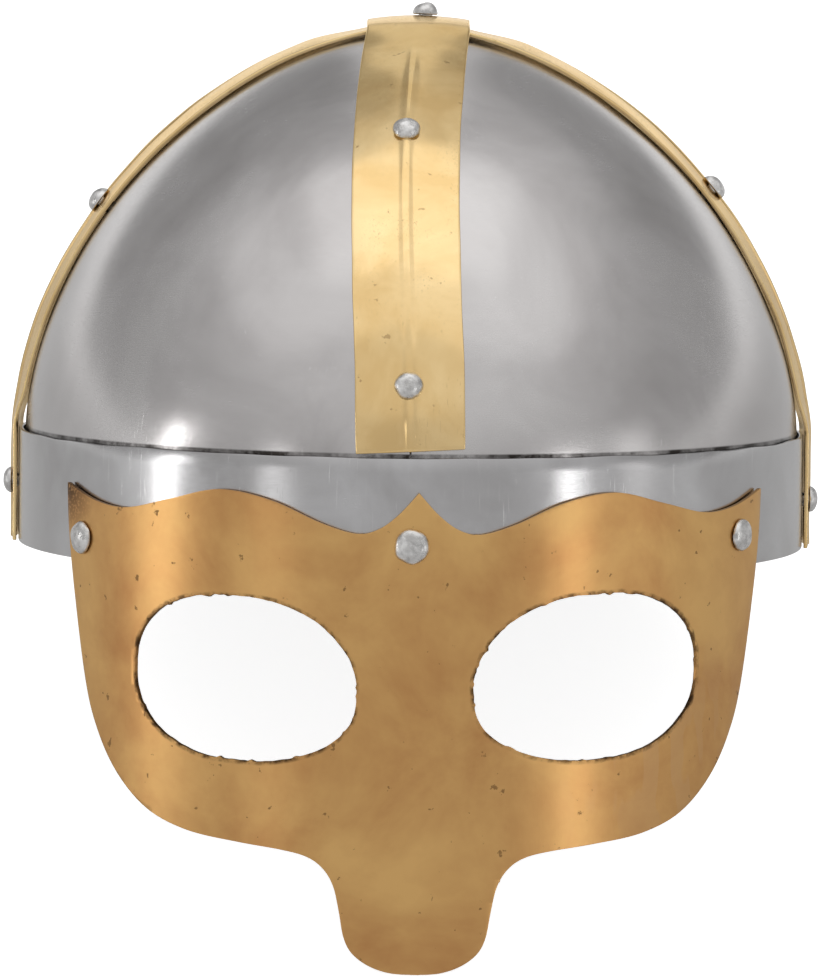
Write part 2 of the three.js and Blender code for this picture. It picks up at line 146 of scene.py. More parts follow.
@dataclass(frozen=True)
class Rest:
    """How the upright helmet is leaned back and set down."""

    lean: float
    shift: Vector

    @classmethod
    def from_record(cls, record: dict) -> "Rest":
        """Reads the lean and the place from the mount on the brow band's lower rim.

        Args:
            record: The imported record.

        Returns:
            The rest position.
        """
        mount = record["mounts"][0]
        lean = math.atan2(-mount["axis"][1], -mount["axis"][2])
        rim = Vector(((SIZES.half_width - SIZES.steel / 2) / METRE, 0, 0))
        return cls(lean, Vector(mount["pos_m"]) - Matrix.Rotation(-lean, 3, "X") @ rim)

    @property
    def matrix(self) -> Matrix:
        """Turns upright millimetres into metres in the row frame."""
        turn = Matrix.Rotation(-self.lean, 4, "X")
        return Matrix.Translation(self.shift) @ turn @ Matrix.Scale(1 / METRE, 4)


REST = Rest.from_record(frame["record"])


# ---- the bench: small wrappers round the modelling tools ---------------------------------------


def ease(value: float, low: float, high: float) -> float:
    """Smooth step from 0, up to low, to 1, from high on."""
    share = min(max((value - low) / (high - low), 0.0), 1.0)
    return share * share * (3 - 2 * share)


def clear_selection() -> None:
    """Deselects every object."""
    bpy.ops.object.select_all(action="DESELECT")


def take(piece: Piece) -> None:
    """Selects one piece alone and makes it active.

    Args:
        piece: The object.
    """
    clear_selection()
    piece.select_set(True)
    bpy.context.view_layer.objects.active = piece


@contextmanager
def editing(piece: Piece) -> Iterator[bmesh.types.BMesh]:
    """Opens a piece in edit mode with nothing selected.

    Args:
        piece: The mesh object to edit.

    Yields:
        Its edit mesh.
    """
    take(piece)
    bpy.ops.object.mode_set(mode="EDIT")
    bpy.ops.mesh.select_mode(type="VERT")
    bpy.ops.mesh.select_all(action="DESELECT")
    yield bmesh.from_edit_mesh(piece.data)
    bpy.ops.object.mode_set(mode="OBJECT")


def select_everything() -> None:
    """Selects the whole mesh in edit mode."""
    bpy.ops.mesh.select_all(action="SELECT")


def finish_with(piece: Piece, kind: str, **settings: object) -> None:
    """Adds a modifier and applies it.

    Args:
        piece: The mesh object.
        kind: The modifier's type.
        **settings: Values for the modifier.
    """
    modifier = piece.modifiers.new(kind.title(), kind)
    for name, value in settings.items():
        setattr(modifier, name, value)
    take(piece)
    bpy.ops.object.modifier_apply(modifier=modifier.name)


def soften(piece: Piece, width: float, segments: int = 2) -> None:
    """Rounds the sharp edges of a sheet."""
    finish_with(piece, "BEVEL", width=width, segments=segments, limit_method="ANGLE",
                angle_limit=SHARP_EDGE)


def tidy_normals(piece: Piece, merge: float = 0.002, flip: bool = False) -> None:
    """Merges doubles and points the faces one way.

    Args:
        piece: The mesh object.
        merge: Distance within which vertices are merged.
        flip: Whether an open sheet still has to be turned over.
    """
    with editing(piece):
        select_everything()
        bpy.ops.mesh.remove_doubles(threshold=merge)
        bpy.ops.mesh.normals_make_consistent(inside=False)
        if flip:
            bpy.ops.mesh.flip_normals()


def outward(piece: Piece) -> None:
    """Turns an open sheet so that its faces look away from the helmet's middle.

    Args:
        piece: The mesh object.
    """
    centre = Vector((0, 0, SIZES.brow_height))
    score = sum((f.center - centre).dot(f.normal) * f.area for f in piece.data.polygons)
    if score < 0:
        tidy_normals(piece, flip=True)


def reshape(piece: Piece, rule: Callable[[Vector], Vector]) -> None:
    """Moves every vertex by a rule, as a sheet is bent over a former.

    Args:
        piece: The mesh object.
        rule: Gives each vertex's new place from its old one.
    """
    for vertex in piece.data.vertices:
        vertex.co = rule(vertex.co.copy())
    piece.data.update()


def lumpy(piece: Piece, grain: float, depth: float) -> None:
    """Gives a surface the slight unevenness of hand work.

    Args:
        piece: The mesh object.
        grain: Size of the lumps in millimetres.
        depth: Height of the lumps in millimetres.
    """
    normals = [vertex.normal.copy() for vertex in piece.data.vertices]
    for vertex, normal in zip(piece.data.vertices, normals):
        place = vertex.co.copy()
        vertex.co = place + normal * depth * noise.noise(place / grain)
    piece.data.update()


def active_named(name: str) -> Piece:
    """Names the primitive that was just added.

    Args:
        name: Name of the object and its mesh.

    Returns:
        The object.
    """
    piece = bpy.context.active_object
    piece.name = name
    piece.data.name = name
    return piece


def drawn_line(name: str, points: Sequence[Vector], closed: bool = False) -> Piece:
    """A line of edges drawn by extruding one point from place to place.

    Args:
        name: Name of the new object.
        points: The places that the line goes through.
        closed: Whether the last point is joined to the first.

    Returns:
        The new object.
    """
    clear_selection()
    bpy.ops.mesh.primitive_plane_add(size=1, location=(0, 0, 0))
    piece = active_named(name)
    with editing(piece):
        select_everything()
        bpy.ops.mesh.merge(type="CENTER")
        bpy.ops.transform.translate(value=points[0])
        for before, after in zip(points, points[1:]):
            bpy.ops.mesh.extrude_vertices_move(TRANSFORM_OT_translate={"value": after - before})
        if closed:
            mesh = bmesh.from_edit_mesh(piece.data)
            mesh.verts.ensure_lookup_table()
            bpy.ops.mesh.select_all(action="DESELECT")
            for vertex in (mesh.verts[0], mesh.verts[len(points) - 1]):
                vertex.select_set(True)
            bpy.ops.mesh.edge_face_add()
    return piece


def spun(piece: Piece, steps: int) -> None:
    """Spins a drawn outline once round the upright axis, in place.

    Args:
        piece: The outline.
        steps: Steps in the turn.
    """
    with editing(piece):
        select_everything()
        bpy.ops.mesh.spin(steps=steps, angle=math.tau, center=(0, 0, 0), axis=(0, 0, 1))


def stretched_back(piece: Piece, ratio: float) -> None:
    """Stretches a round piece to an oval along the helmet's length.

    Args:
        piece: The mesh object.
        ratio: Length over width.
    """
    with editing(piece):
        select_everything()
        bpy.ops.transform.resize(value=(1, ratio, 1), center_override=(0, 0, 0))


def copied(piece: Piece, name: str) -> Piece:
    """A copy of a piece with its own mesh.

    Args:
        piece: The object to copy.
        name: Name of the copy.

    Returns:
        The copy.
    """
    twin = piece.copy()
    twin.data = piece.data.copy()
    twin.name = name
    twin.data.name = name
    bpy.context.collection.objects.link(twin)
    return twin


def hand_over(piece: Piece, finish: "Finish", nodes: Sequence[str],
              angle: float = 35) -> None:
    """Leans a finished upright piece back into its place, then dresses and registers it.

    Args:
        piece: The mesh object, upright.
        finish: Its finish.
        nodes: The CAD nodes that it stands for.
        angle: Edges sharper than this many degrees stay sharp.
    """
    take(piece)
    piece.matrix_world = REST.matrix @ piece.matrix_world
    bpy.ops.object.transform_apply(location=True, rotation=True, scale=True)
    bpy.ops.object.shade_smooth_by_angle(angle=math.radians(angle))
    piece.data.materials.clear()
    piece.data.materials.append(finish.material())
    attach(piece, "root")
    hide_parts(*nodes)
    LOG.info("%s: %d faces for %s", piece.name, len(piece.data.polygons), ", ".join(nodes))


# ---- nodes -------------------------------------------------------------------------------------


class NodeTable:
    """Lays out nodes in one tree."""

    def __init__(self, tree: bpy.types.NodeTree) -> None:
        """Takes the tree to work in."""
        self.tree = tree

    def add(self, kind: str, **settings: object) -> bpy.types.Node:
        """Adds a shader node.

        Args:
            kind: The node's type, without its prefix.
            **settings: Values for the node.

        Returns:
            The node.
        """
        node = self.tree.nodes.new(f"ShaderNode{kind}")
        for name, value in settings.items():
            setattr(node, name, value)
        return node

    def join(self, source: Socket, target: Socket) -> None:
        """Links two sockets."""
        self.tree.links.new(source, target)

    def between(self, value: Socket, span: Span, result: Span, smooth: bool = False) -> Socket:
        """A value brought from one range to another, clamped.

        Args:
            value: The value.
            span: The range that it comes in.
            result: The range that it is brought to.
            smooth: Whether it starts and ends gently.

        Returns:
            The new value.
        """
        node = self.add("MapRange", interpolation_type="SMOOTHSTEP" if smooth else "LINEAR")
        node.inputs["From Min"].default_value, node.inputs["From Max"].default_value = span
        node.inputs["To Min"].default_value, node.inputs["To Max"].default_value = result
        self.join(value, node.inputs["Value"])
        return node.outputs["Result"]

    def combined(self, first: Socket, second: Socket | float, how: Combine) -> Socket:
        """Two values put together.

        Args:
            first: One value.
            second: The other, a socket or a number.
            how: The way they are put together.

        Returns:
            The new value.
        """
        node = self.add("Math", operation=how.value)
        self.join(first, node.inputs[0])
        if isinstance(second, float):
            node.inputs[1].default_value = second
        else:
            self.join(second, node.inputs[1])
        return node.outputs["Value"]

    def split(self, vector: Socket) -> bpy.types.Node:
        """A node that gives a vector's X, Y and Z.

        Args:
            vector: The vector.

        Returns:
            The node.
        """
        node = self.add("SeparateXYZ")
        self.join(vector, node.inputs["Vector"])
        return node


@dataclass(frozen=True)
class Grain:
    """A cloudy or streaky pattern.

    The scale is in waves per millimetre, with octaves of finer noise, the finer octaves'
    strength, and a twist. A stretch gives it other waves along each axis, after a turn.
    """

    scale: float
    octaves: float
    rough: float
    twist: float = 0.0
    stretch: Triple | None = None
    turn: Triple = (0.0, 0.0, 0.0)


@dataclass(frozen=True)
class Relief:
    """How a pattern is raised: the share of it that shows and its height in metres."""

    share: float
    height: float


@dataclass(frozen=True)
class Scratches:
    """Sparse fine scratches that run one way, in patches."""

    turn: Triple
    amount: float
    stretch: Triple = (2.6, 2.6, 0.09)
    span: Span = (0.66, 0.72)
    patch_scale: float = 0.05
    patch_span: Span = (0.48, 0.62)


class NodeBench(NodeTable):
    """Lays out the nodes of one metal."""

    def __init__(self, name: str, edge_tint: Colour) -> None:
        """Starts a material with a metal shader and the upright millimetre coordinates.

        Args:
            name: The material's name.
            edge_tint: Colour of what it mirrors at a flat angle.
        """
        self.material = bpy.data.materials.new(name)
        self.material.use_nodes = True
        super().__init__(self.material.node_tree)
        self.shader = self.tree.nodes["Principled BSDF"]
        self.shader.inputs["Metallic"].default_value = 1.0
        self.shader.inputs["Specular Tint"].default_value = (*edge_tint, 1)
        upright = self.add("Mapping", vector_type="TEXTURE")
        upright.inputs["Location"].default_value = REST.shift
        upright.inputs["Rotation"].default_value = (-REST.lean, 0, 0)
        upright.inputs["Scale"].default_value = (1 / METRE,) * 3
        self.join(self.add("TexCoord").outputs["Object"], upright.inputs["Vector"])
        self.upright = upright.outputs["Vector"]

    def grain(self, grain: Grain) -> Socket:
        """A pattern's value.

        Args:
            grain: The pattern.

        Returns:
            The value, 0 to 1.
        """
        place = self.upright
        if grain.stretch:
            mapping = self.add("Mapping")
            mapping.inputs["Scale"].default_value = grain.stretch
            mapping.inputs["Rotation"].default_value = grain.turn
            self.join(self.upright, mapping.inputs["Vector"])
            place = mapping.outputs["Vector"]
        node = self.add("TexNoise")
        node.inputs["Scale"].default_value = grain.scale
        node.inputs["Detail"].default_value = grain.octaves
        node.inputs["Roughness"].default_value = grain.rough
        node.inputs["Distortion"].default_value = grain.twist
        self.join(place, node.inputs["Vector"])
        return node.outputs["Fac"]

    def blend(self, factor: Socket, low: Socket | Colour, high: Socket | Colour) -> Socket:
        """Two colours mixed by a factor.

        Args:
            factor: The share of the second.
            low: The first colour.
            high: The second colour.

        Returns:
            The mixed colour.
        """
        node = self.add("Mix", data_type="RGBA")
        self.join(factor, node.inputs["Factor"])
        for name, colour in (("A", low), ("B", high)):
            socket = [s for s in node.inputs if s.name == name and s.type == "RGBA"][0]
            if isinstance(colour, Socket):
                self.join(colour, socket)
            else:
                socket.default_value = (*colour, 1)
        return [s for s in node.outputs if s.type == "RGBA"][0]

    def scratched(self, sets: Sequence[Scratches]) -> Socket:
        """Two sets of scratches together.

        Args:
            sets: The two sets.

        Returns:
            A factor that is 0 between the scratches.
        """
        factors = []
        for scratches in sets:
            lines = self.grain(Grain(1.0, 2, 0.5, stretch=scratches.stretch, turn=scratches.turn))
            patches = self.grain(Grain(scratches.patch_scale, 3, 0.6, stretch=(1, 1, 1),
                                       turn=scratches.turn))
            where = self.between(patches, scratches.patch_span, (0, 1))
            deep = self.between(lines, scratches.span, (0, scratches.amount))
            factors.append(self.combined(deep, where, Combine.MULTIPLY))
        return self.combined(*factors, Combine.LARGER)

    def spot(self, centre: Triple, radius: float) -> Socket:
        """A soft round spot.

        Args:
            centre: Its centre, upright.
            radius: Its radius.

        Returns:
            1 at its centre, 0 from its radius on.
        """
        node = self.add("VectorMath", operation="DISTANCE")
        node.inputs[1].default_value = centre
        self.join(self.upright, node.inputs[0])
        return self.between(node.outputs["Value"], (0, radius), (1, 0))

    def attribute(self, name: str) -> Socket:
        """A number stored on the piece's own mesh."""
        return self.add("Attribute", attribute_name=name).outputs["Fac"]

    def raise_by(self, height: Socket, relief: Relief) -> None:
        """Raises the surface, on top of what raised it before.

        Args:
            height: The pattern, 0 to 1.
            relief: How much of it is raised.
        """
        node = self.add("Bump")
        node.inputs["Strength"].default_value = relief.share
        node.inputs["Distance"].default_value = relief.height
        self.join(height, node.inputs["Height"])
        earlier = self.shader.inputs["Normal"].links
        if earlier:
            self.join(earlier[0].from_socket, node.inputs["Normal"])
        self.join(node.outputs["Normal"], self.shader.inputs["Normal"])

    def dress(self, colour: Socket, roughness: Socket) -> Material:
        """Links the colour and the roughness.

        Args:
            colour: The metal's colour.
            roughness: Its roughness.

        Returns:
            The finished material.
        """
        self.join(colour, self.shader.inputs["Base Color"])
        self.join(roughness, self.shader.inputs["Roughness"])
        return self.material


# ---- finishes ----------------------------------------------------------------------------------


@dataclass(frozen=True)
class Finish:
    """A metal in two cloudy shades, whose gloss follows them; each kind adds its own marks."""

    slot: str
    light: Colour
    dark: Colour
    rough: Span
    clouds: Grain
    cloud_span: Span
    gloss_span: Span = (0.3, 0.7)
    edge_tint: Colour = (1.0, 1.0, 1.0)

    def material(self) -> Material:
        """The finish as a material, made once."""
        name = f"{self.slot}_finish"
        return bpy.data.materials.get(name) or self.build(NodeBench(name, self.edge_tint))

    def build(self, bench: NodeBench) -> Material:
        """Lays out the finish's nodes; each kind of metal has its own way."""
        raise NotImplementedError

    def shade(self, bench: NodeBench, clouds: Socket) -> Socket:
        """The two shades, mixed by the clouds."""
        return bench.blend(bench.between(clouds, self.cloud_span, (0, 1)), self.dark, self.light)

    def gloss(self, bench: NodeBench, clouds: Socket) -> Socket:
        """The roughness, which follows the clouds."""
        return bench.between(clouds, self.gloss_span, self.rough)


@dataclass(frozen=True)
class RubbedFinish(Finish):
    """A rubbed metal with fine lines, shallow dents, specks and scratches."""

    lines: Grain = Grain(1.0, 3, 0.6)
    dents: Grain = Grain(0.03, 2, 0.4)
    specks: Grain = Grain(0.9, 2, 0.5)
    fine_rough: Span = (-0.03, 0.03)
    speck_span: Span = (0.70, 0.82)
    speck_share: float = 0.35
    scratches: Sequence[Scratches] = ()
    line_relief: Relief = Relief(0.03, 0.0001)
    dent_relief: Relief = Relief(0.15, 0.0006)
    scratch_relief: Relief = Relief(0.25, 0.00015)

    def marked(self, bench: NodeBench, shade: Socket, specks: Socket, scored: Socket) -> Socket:
        """Puts the metal's marks on its shade."""
        raise NotImplementedError

    def build(self, bench: NodeBench) -> Material:
        """Lays out the finish's nodes.

        Args:
            bench: The bench of this metal.

        Returns:
            The material.
        """
        clouds, lines = bench.grain(self.clouds), bench.grain(self.lines)
        specks = bench.between(bench.grain(self.specks), self.speck_span, (0, self.speck_share))
        scored = bench.scratched(self.scratches)
        colour = self.marked(bench, self.shade(bench, clouds), specks, scored)
        bench.raise_by(lines, self.line_relief)
        bench.raise_by(bench.grain(self.dents), self.dent_relief)
        bench.raise_by(scored, self.scratch_relief)
        fine = bench.between(lines, self.gloss_span, self.fine_rough)
        return bench.dress(colour, bench.combined(self.gloss(bench, clouds), fine, Combine.ADD))


@dataclass(frozen=True)
class SteelFinish(RubbedFinish):
    """Rubbed steel with cloudy patches, fine lines and painted seam shade above the brow band."""

    light: Colour = (0.62, 0.60, 0.595)
    dark: Colour = (0.48, 0.46, 0.455)
    rough: Span = (0.20, 0.27)
    clouds: Grain = Grain(0.022, 4, 0.55, twist=0.6)
    cloud_span: Span = (0.32, 0.68)
    lines: Grain = Grain(1.0, 3, 0.6, stretch=(0.35, 0.35, 5.0))
    scratches: Sequence[Scratches] = (Scratches((0.5, 1.1, 0.2), 0.3),
                                      Scratches((0.9, 0.7, 0.7), 0.2))
    bright: Colour = (0.80, 0.79, 0.78)
    # Painted shade: a near-black colour laid in a ragged line on the dome just above the brow band,
    # where the seam between them lies in shade.
    seam_shade: Colour = (0.035, 0.03, 0.027)
    seam_shade_heights: Span = (30.6, 30.2)
    seam_shade_foot: Span = (28.4, 29.0)
    seam_shade_edge: Grain = Grain(0.12, 5, 0.7)
    seam_shade_span: Span = (0.35, 0.6)
    seam_shade_shares: Span = (0.35, 1.0)

    def marked(self, bench: NodeBench, shade: Socket, specks: Socket, scored: Socket) -> Socket:
        """Adds dark specks, bright scratches and a ragged line of painted shade in the seam above
        the brow band.

        Args:
            bench: The bench of this metal.
            shade: The metal's shade.
            specks: Where the specks lie.
            scored: Where the scratches lie.

        Returns:
            The colour.
        """
        height = bench.split(bench.upright).outputs["Z"]
        # Painted shade along the seam: near black between the given heights just above the brow
        # band, with ragged strength.
        line = bench.combined(bench.between(height, self.seam_shade_heights, (0, 1)),
                              bench.between(height, self.seam_shade_foot, (0, 1)), Combine.MULTIPLY)
        ragged = bench.between(bench.grain(self.seam_shade_edge), self.seam_shade_span, self.seam_shade_shares)
        darkening = bench.combined(line, ragged, Combine.MULTIPLY)
        worn = bench.blend(specks, shade, self.dark)
        return bench.blend(darkening, bench.blend(scored, worn, self.bright), self.seam_shade)


@dataclass(frozen=True)
class BandBrassFinish(RubbedFinish):
    """Pale polished brass with faint hammer marks."""

    light: Colour = (0.93, 0.70, 0.37)
    dark: Colour = (0.79, 0.55, 0.25)
    rough: Span = (0.15, 0.22)
    clouds: Grain = Grain(0.045, 4, 0.6, twist=0.4)
    cloud_span: Span = (0.35, 0.65)
    edge_tint: Colour = (1.0, 0.90, 0.70)
    lines: Grain = Grain(1.2, 3, 0.6, stretch=(3.0, 0.3, 0.3))
    dents: Grain = Grain(0.05, 2, 0.4)
    specks: Grain = Grain(0.3, 4, 0.6)
    speck_span: Span = (0.68, 0.71)
    speck_share: float = 0.5
    scratches: Sequence[Scratches] = (Scratches((0.3, 1.2, 0.1), 0.6),
                                      Scratches((0.2, 0.3, 1.0), 0.5))
    dent_relief: Relief = Relief(0.2, 0.0008)
    scratch_relief: Relief = Relief(0.3, 0.0002)
    scratch: Colour = (0.60, 0.42, 0.20)
    speck: Colour = (0.30, 0.19, 0.08)

    def marked(self, bench: NodeBench, shade: Socket, specks: Socket, scored: Socket) -> Socket:
        """Adds darker scratches and brown specks."""
        return bench.blend(specks, bench.blend(scored, shade, self.scratch), self.speck)


@dataclass(frozen=True)
class MaskBrassFinish(Finish):
    """Darker satin brass, tarnished in places and pitted, browner round the cut edges."""

    light: Colour = (0.74, 0.45, 0.17)
    dark: Colour = (0.54, 0.27, 0.10)
    rough: Span = (0.28, 0.37)
    clouds: Grain = Grain(0.03, 5, 0.6, twist=0.25)
    cloud_span: Span = (0.33, 0.67)
    wiped: Colour = (0.62, 0.37, 0.17)
    tarnish: Colour = (0.10, 0.055, 0.025)
    dirt_rough: float = 0.25
    lines: Grain = Grain(1.0, 3, 0.6, stretch=(2.5, 2.5, 0.2))
    dents: Grain = Grain(0.05, 2, 0.5)
    rim_span: Span = (0.80, 0.97)
    rim_edge: Grain = Grain(0.30, 4, 0.65)
    rim_edge_span: Span = (0.42, 0.62)
    rim_shares: Span = (0.15, 1.0)
    pits: Grain = Grain(1.3, 2, 0.5)
    pit_span: Span = (0.36, 0.50)
    pit_shares: Span = (0.3, 1)
    marks: Grain = Grain(0.26, 4, 0.6)
    mark_span: Span = (0.675, 0.70)
    mark_share: float = 0.6
    strokes: Grain = Grain(0.16, 2, 0.35, stretch=(1.0, 1.0, 0.3), turn=(0, 0.55, 0))
    stroke_span: Span = (0.50, 0.53)
    stroke_share: float = 0.7
    stained_corner: tuple[Triple, float] = ((-85, -68, 18), 12)
    wiped_cheek: tuple[Triple, float] = ((62, -88, -48), 38)
    line_relief: Relief = Relief(0.06, 0.0002)
    dent_relief: Relief = Relief(0.25, 0.0008)

    def _dirt(self, bench: NodeBench) -> Socket:
        """Where the brass is tarnished: round the eyes, in one corner and in small marks.

        Args:
            bench: The bench of this metal.

        Returns:
            A factor that is 0 on clean brass.
        """
        rim = bench.between(bench.attribute("burr"), self.rim_span, (0, 1))
        ragged = bench.between(bench.grain(self.rim_edge), self.rim_edge_span, self.rim_shares)
        burr = bench.combined(rim, ragged, Combine.MULTIPLY)
        pits = bench.between(bench.grain(self.pits), self.pit_span, self.pit_shares)
        corner = bench.combined(bench.spot(*self.stained_corner), pits, Combine.MULTIPLY)
        marks = bench.between(bench.grain(self.marks), self.mark_span, (0, self.mark_share))
        return bench.combined(bench.combined(burr, corner, Combine.LARGER), marks, Combine.LARGER)

    def build(self, bench: NodeBench) -> Material:
        """Lays out the finish's nodes.

        Args:
            bench: The bench of this metal.

        Returns:
            The material.
        """
        clouds, darkening = bench.grain(self.clouds), self._dirt(bench)
        strokes = bench.between(bench.grain(self.strokes), self.stroke_span,
                                (0, self.stroke_share))
        wiping = bench.combined(strokes, bench.spot(*self.wiped_cheek), Combine.MULTIPLY)
        handled = bench.blend(wiping, self.shade(bench, clouds), self.wiped)
        dull = bench.between(darkening, (0, 1), (0, self.dirt_rough))
        bench.raise_by(bench.grain(self.lines), self.line_relief)
        bench.raise_by(bench.grain(self.dents), self.dent_relief)
        return bench.dress(bench.blend(darkening, handled, self.tarnish),
                           bench.combined(self.gloss(bench, clouds), dull, Combine.ADD))


@dataclass(frozen=True)
class RivetFinish(Finish):
    """Hammered steel rivet heads, whose clouds are dents."""

    light: Colour = (0.78, 0.77, 0.76)
    dark: Colour = (0.48, 0.47, 0.46)
    rough: Span = (0.22, 0.38)
    clouds: Grain = Grain(0.45, 3, 0.6)
    cloud_span: Span = (0.35, 0.65)
    dent_relief: Relief = Relief(0.5, 0.0006)

    def build(self, bench: NodeBench) -> Material:
        """Lays out the finish's nodes.

        Args:
            bench: The bench of this metal.

        Returns:
            The material.
        """
        dents = bench.grain(self.clouds)
        bench.raise_by(dents, self.dent_relief)
        return bench.dress(self.shade(bench, dents), self.gloss(bench, dents))


DOME_STEEL = SteelFinish("dome_steel")
# On the brow band the painted seam shade is set below the band, so none of it shows.
BROW_STEEL = SteelFinish("brow_steel", light=(0.57, 0.565, 0.57), dark=(0.44, 0.43, 0.43),
                         seam_shade_heights=(-1.0, -2.0), rough=(0.18, 0.25),
                         clouds=Grain(0.035, 4, 0.55, twist=0.6),
                         lines=Grain(1.0, 3, 0.6, stretch=(0.25, 0.25, 4.0)))
BAND_BRASS = BandBrassFinish("band_brass")
MASK_BRASS = MaskBrassFinish("mask_brass")
RIVET_STEEL = RivetFinish("rivet_steel")


# ---- shape of the dome -------------------------------------------------------------------------


@dataclass(frozen=True)
class Arch:
    """The dome's outline in one upright plane, from the brow band to the point."""

    half_axis: float

    def point(self, angle: float) -> Vector:
        """Place on the outline.

        Args:
            angle: 0 at the brow band, a right angle at the point.

        Returns:
            The distance out and the height.
        """
        power = 2 / SIZES.dome_power
        out = self.half_axis * max(math.cos(angle), 0.0) ** power
        return Vector((out, SIZES.brow_height + SIZES.dome_rise * math.sin(angle) ** power))

    def normal(self, point: Vector) -> Vector:
        """Direction straight off the dome.

        Args:
            point: A point of the outline.

        Returns:
            The direction, out and up.
        """
        power = SIZES.dome_power - 1
        side = (max(point.x, 0.0) / self.half_axis) ** power / self.half_axis
        climb = max(point.y - SIZES.brow_height, 0.0) / SIZES.dome_rise
        return Vector((side, climb ** power / SIZES.dome_rise)).normalized()

    def angle_at(self, height: float) -> float:
        """Angle at which the outline reaches a height."""
        climb = (height - SIZES.brow_height) / SIZES.dome_rise
        return math.asin(climb ** (SIZES.dome_power / 2))


SIDE_ARCH = Arch(SIZES.dome_half_width)
LENGTH_ARCH = Arch(SIZES.dome_half_length)


def oval_point(half: Span, angle: float, height: float, off: float) -> Vector:
    """A place on an oval round the helmet.

    Args:
        half: Half the oval's width and length.
        angle: Angle from the front, positive to the right.
        height: Height above the brow band's lower edge.
        off: Distance off the oval.

    Returns:
        The place.
    """
    wide, long = half
    normal = Vector((math.sin(angle) / wide, -math.cos(angle) / long, 0)).normalized()
    return Vector((wide * math.sin(angle), -long * math.cos(angle), height)) + normal * off


# ---- pieces ------------------------------------------------------------------------------------


@dataclass
class BrowBand:
    """The steel hoop round the forehead."""

    steps: int = 288
    rows: int = 7
    edge_round: float = 0.25
    wave: float = 0.35
    wave_length: float = 14

    def build(self) -> Piece:
        """Adds the hoop as an open cylinder, squeezed to an oval and thickened inwards.

        Returns:
            The hoop, upright.
        """
        clear_selection()
        bpy.ops.mesh.primitive_cylinder_add(
            vertices=self.steps, radius=SIZES.half_width, depth=SIZES.brow_height,
            end_fill_type="NOTHING", location=(0, 0, SIZES.brow_height / 2))
        hoop = active_named("brow_hoop")
        bpy.ops.object.transform_apply(location=True, rotation=True, scale=True)
        with editing(hoop) as mesh:
            for edge in mesh.edges:
                low, high = sorted(vertex.co.z for vertex in edge.verts)
                edge.select_set(high - low > SIZES.brow_height / 2)
            bmesh.update_edit_mesh(hoop.data)
            bpy.ops.mesh.select_mode(type="EDGE")
            bpy.ops.mesh.subdivide(number_cuts=self.rows)
        stretched_back(hoop, SIZES.half_length / SIZES.half_width)
        tidy_normals(hoop)
        outward(hoop)
        reshape(hoop, self._hand_made)
        finish_with(hoop, "SOLIDIFY", thickness=SIZES.steel, offset=-1, use_even_offset=True)
        soften(hoop, self.edge_round)
        return hoop

    def _hand_made(self, place: Vector) -> Vector:
        """Lets the edges wander slightly up and down, most along the top.

        Args:
            place: A place on the even hoop.

        Returns:
            Its new place.
        """
        share = ease(place.z, SIZES.brow_height / 2, SIZES.brow_height)
        place.z += share * self.wave * noise.noise(Vector((place.x, place.y, 0)) / self.wave_length)
        return place

    def dress(self) -> None:
        """Builds and registers the hoop."""
        hand_over(self.build(), BROW_STEEL, ["brow_band"])


@dataclass
class DomePlates:
    """The four steel plates that fill the dome."""

    turns: int = 224
    rings: int = 72
    hem_rows: int = 6
    lump_size: float = 34.0
    lump_height: float = 0.35
    edge_round: float = 0.2

    def _dome(self) -> Piece:
        """The whole dome as one thin skin, spun from its outline and stretched to an oval.

        Returns:
            The skin, upright.
        """
        line = []
        for row in range(self.hem_rows):
            height = SIZES.plate_hem + (SIZES.brow_height - SIZES.plate_hem) * row / self.hem_rows
            line.append(Vector((SIZES.dome_half_width, 0, height)))
        for ring in range(self.rings):
            point = SIDE_ARCH.point(QUARTER_TURN * ring / self.rings)
            line.append(Vector((point.x, 0, point.y)))
        dome = drawn_line("dome_skin", [*line, Vector((0, 0, SIZES.top))])
        spun(dome, self.turns)
        stretched_back(dome, SIZES.dome_half_length / SIZES.dome_half_width)
        tidy_normals(dome, merge=0.004)
        outward(dome)
        lumpy(dome, self.lump_size, self.lump_height)
        return dome

    def _quarter(self, dome: Piece, hand: Hand, end: End) -> Piece:
        """One plate, cut from a copy of the dome along its two seams.

        Args:
            dome: The whole skin.
            hand: Whether it is a left or a right plate.
            end: Whether it is a front or a back plate.

        Returns:
            The plate.
        """
        plate = copied(dome, f"dome_{end.name}_{hand.name}".lower())
        with editing(plate):
            for side in (Vector((hand.value, 0, 0)), Vector((0, end.value, 0))):
                select_everything()
                bpy.ops.mesh.bisect(plane_co=side * SIZES.seam_gap / 2, plane_no=side,
                                    clear_inner=True)
        finish_with(plate, "SOLIDIFY", thickness=SIZES.steel, offset=-1)
        soften(plate, self.edge_round, segments=1)
        return plate

    def dress(self) -> None:
        """Builds and registers the four plates."""
        dome = self._dome()
        for end in End:
            for hand in Hand:
                node = f"plate_{end.name}_{hand.name}".lower()
                hand_over(self._quarter(dome, hand, end), DOME_STEEL, [node])
        bpy.data.objects.remove(dome)


@dataclass(frozen=True)
class Station:
    """A place along a band's arch, with the direction straight off the dome."""

    half: Half
    out: float
    height: float
    normal: Vector


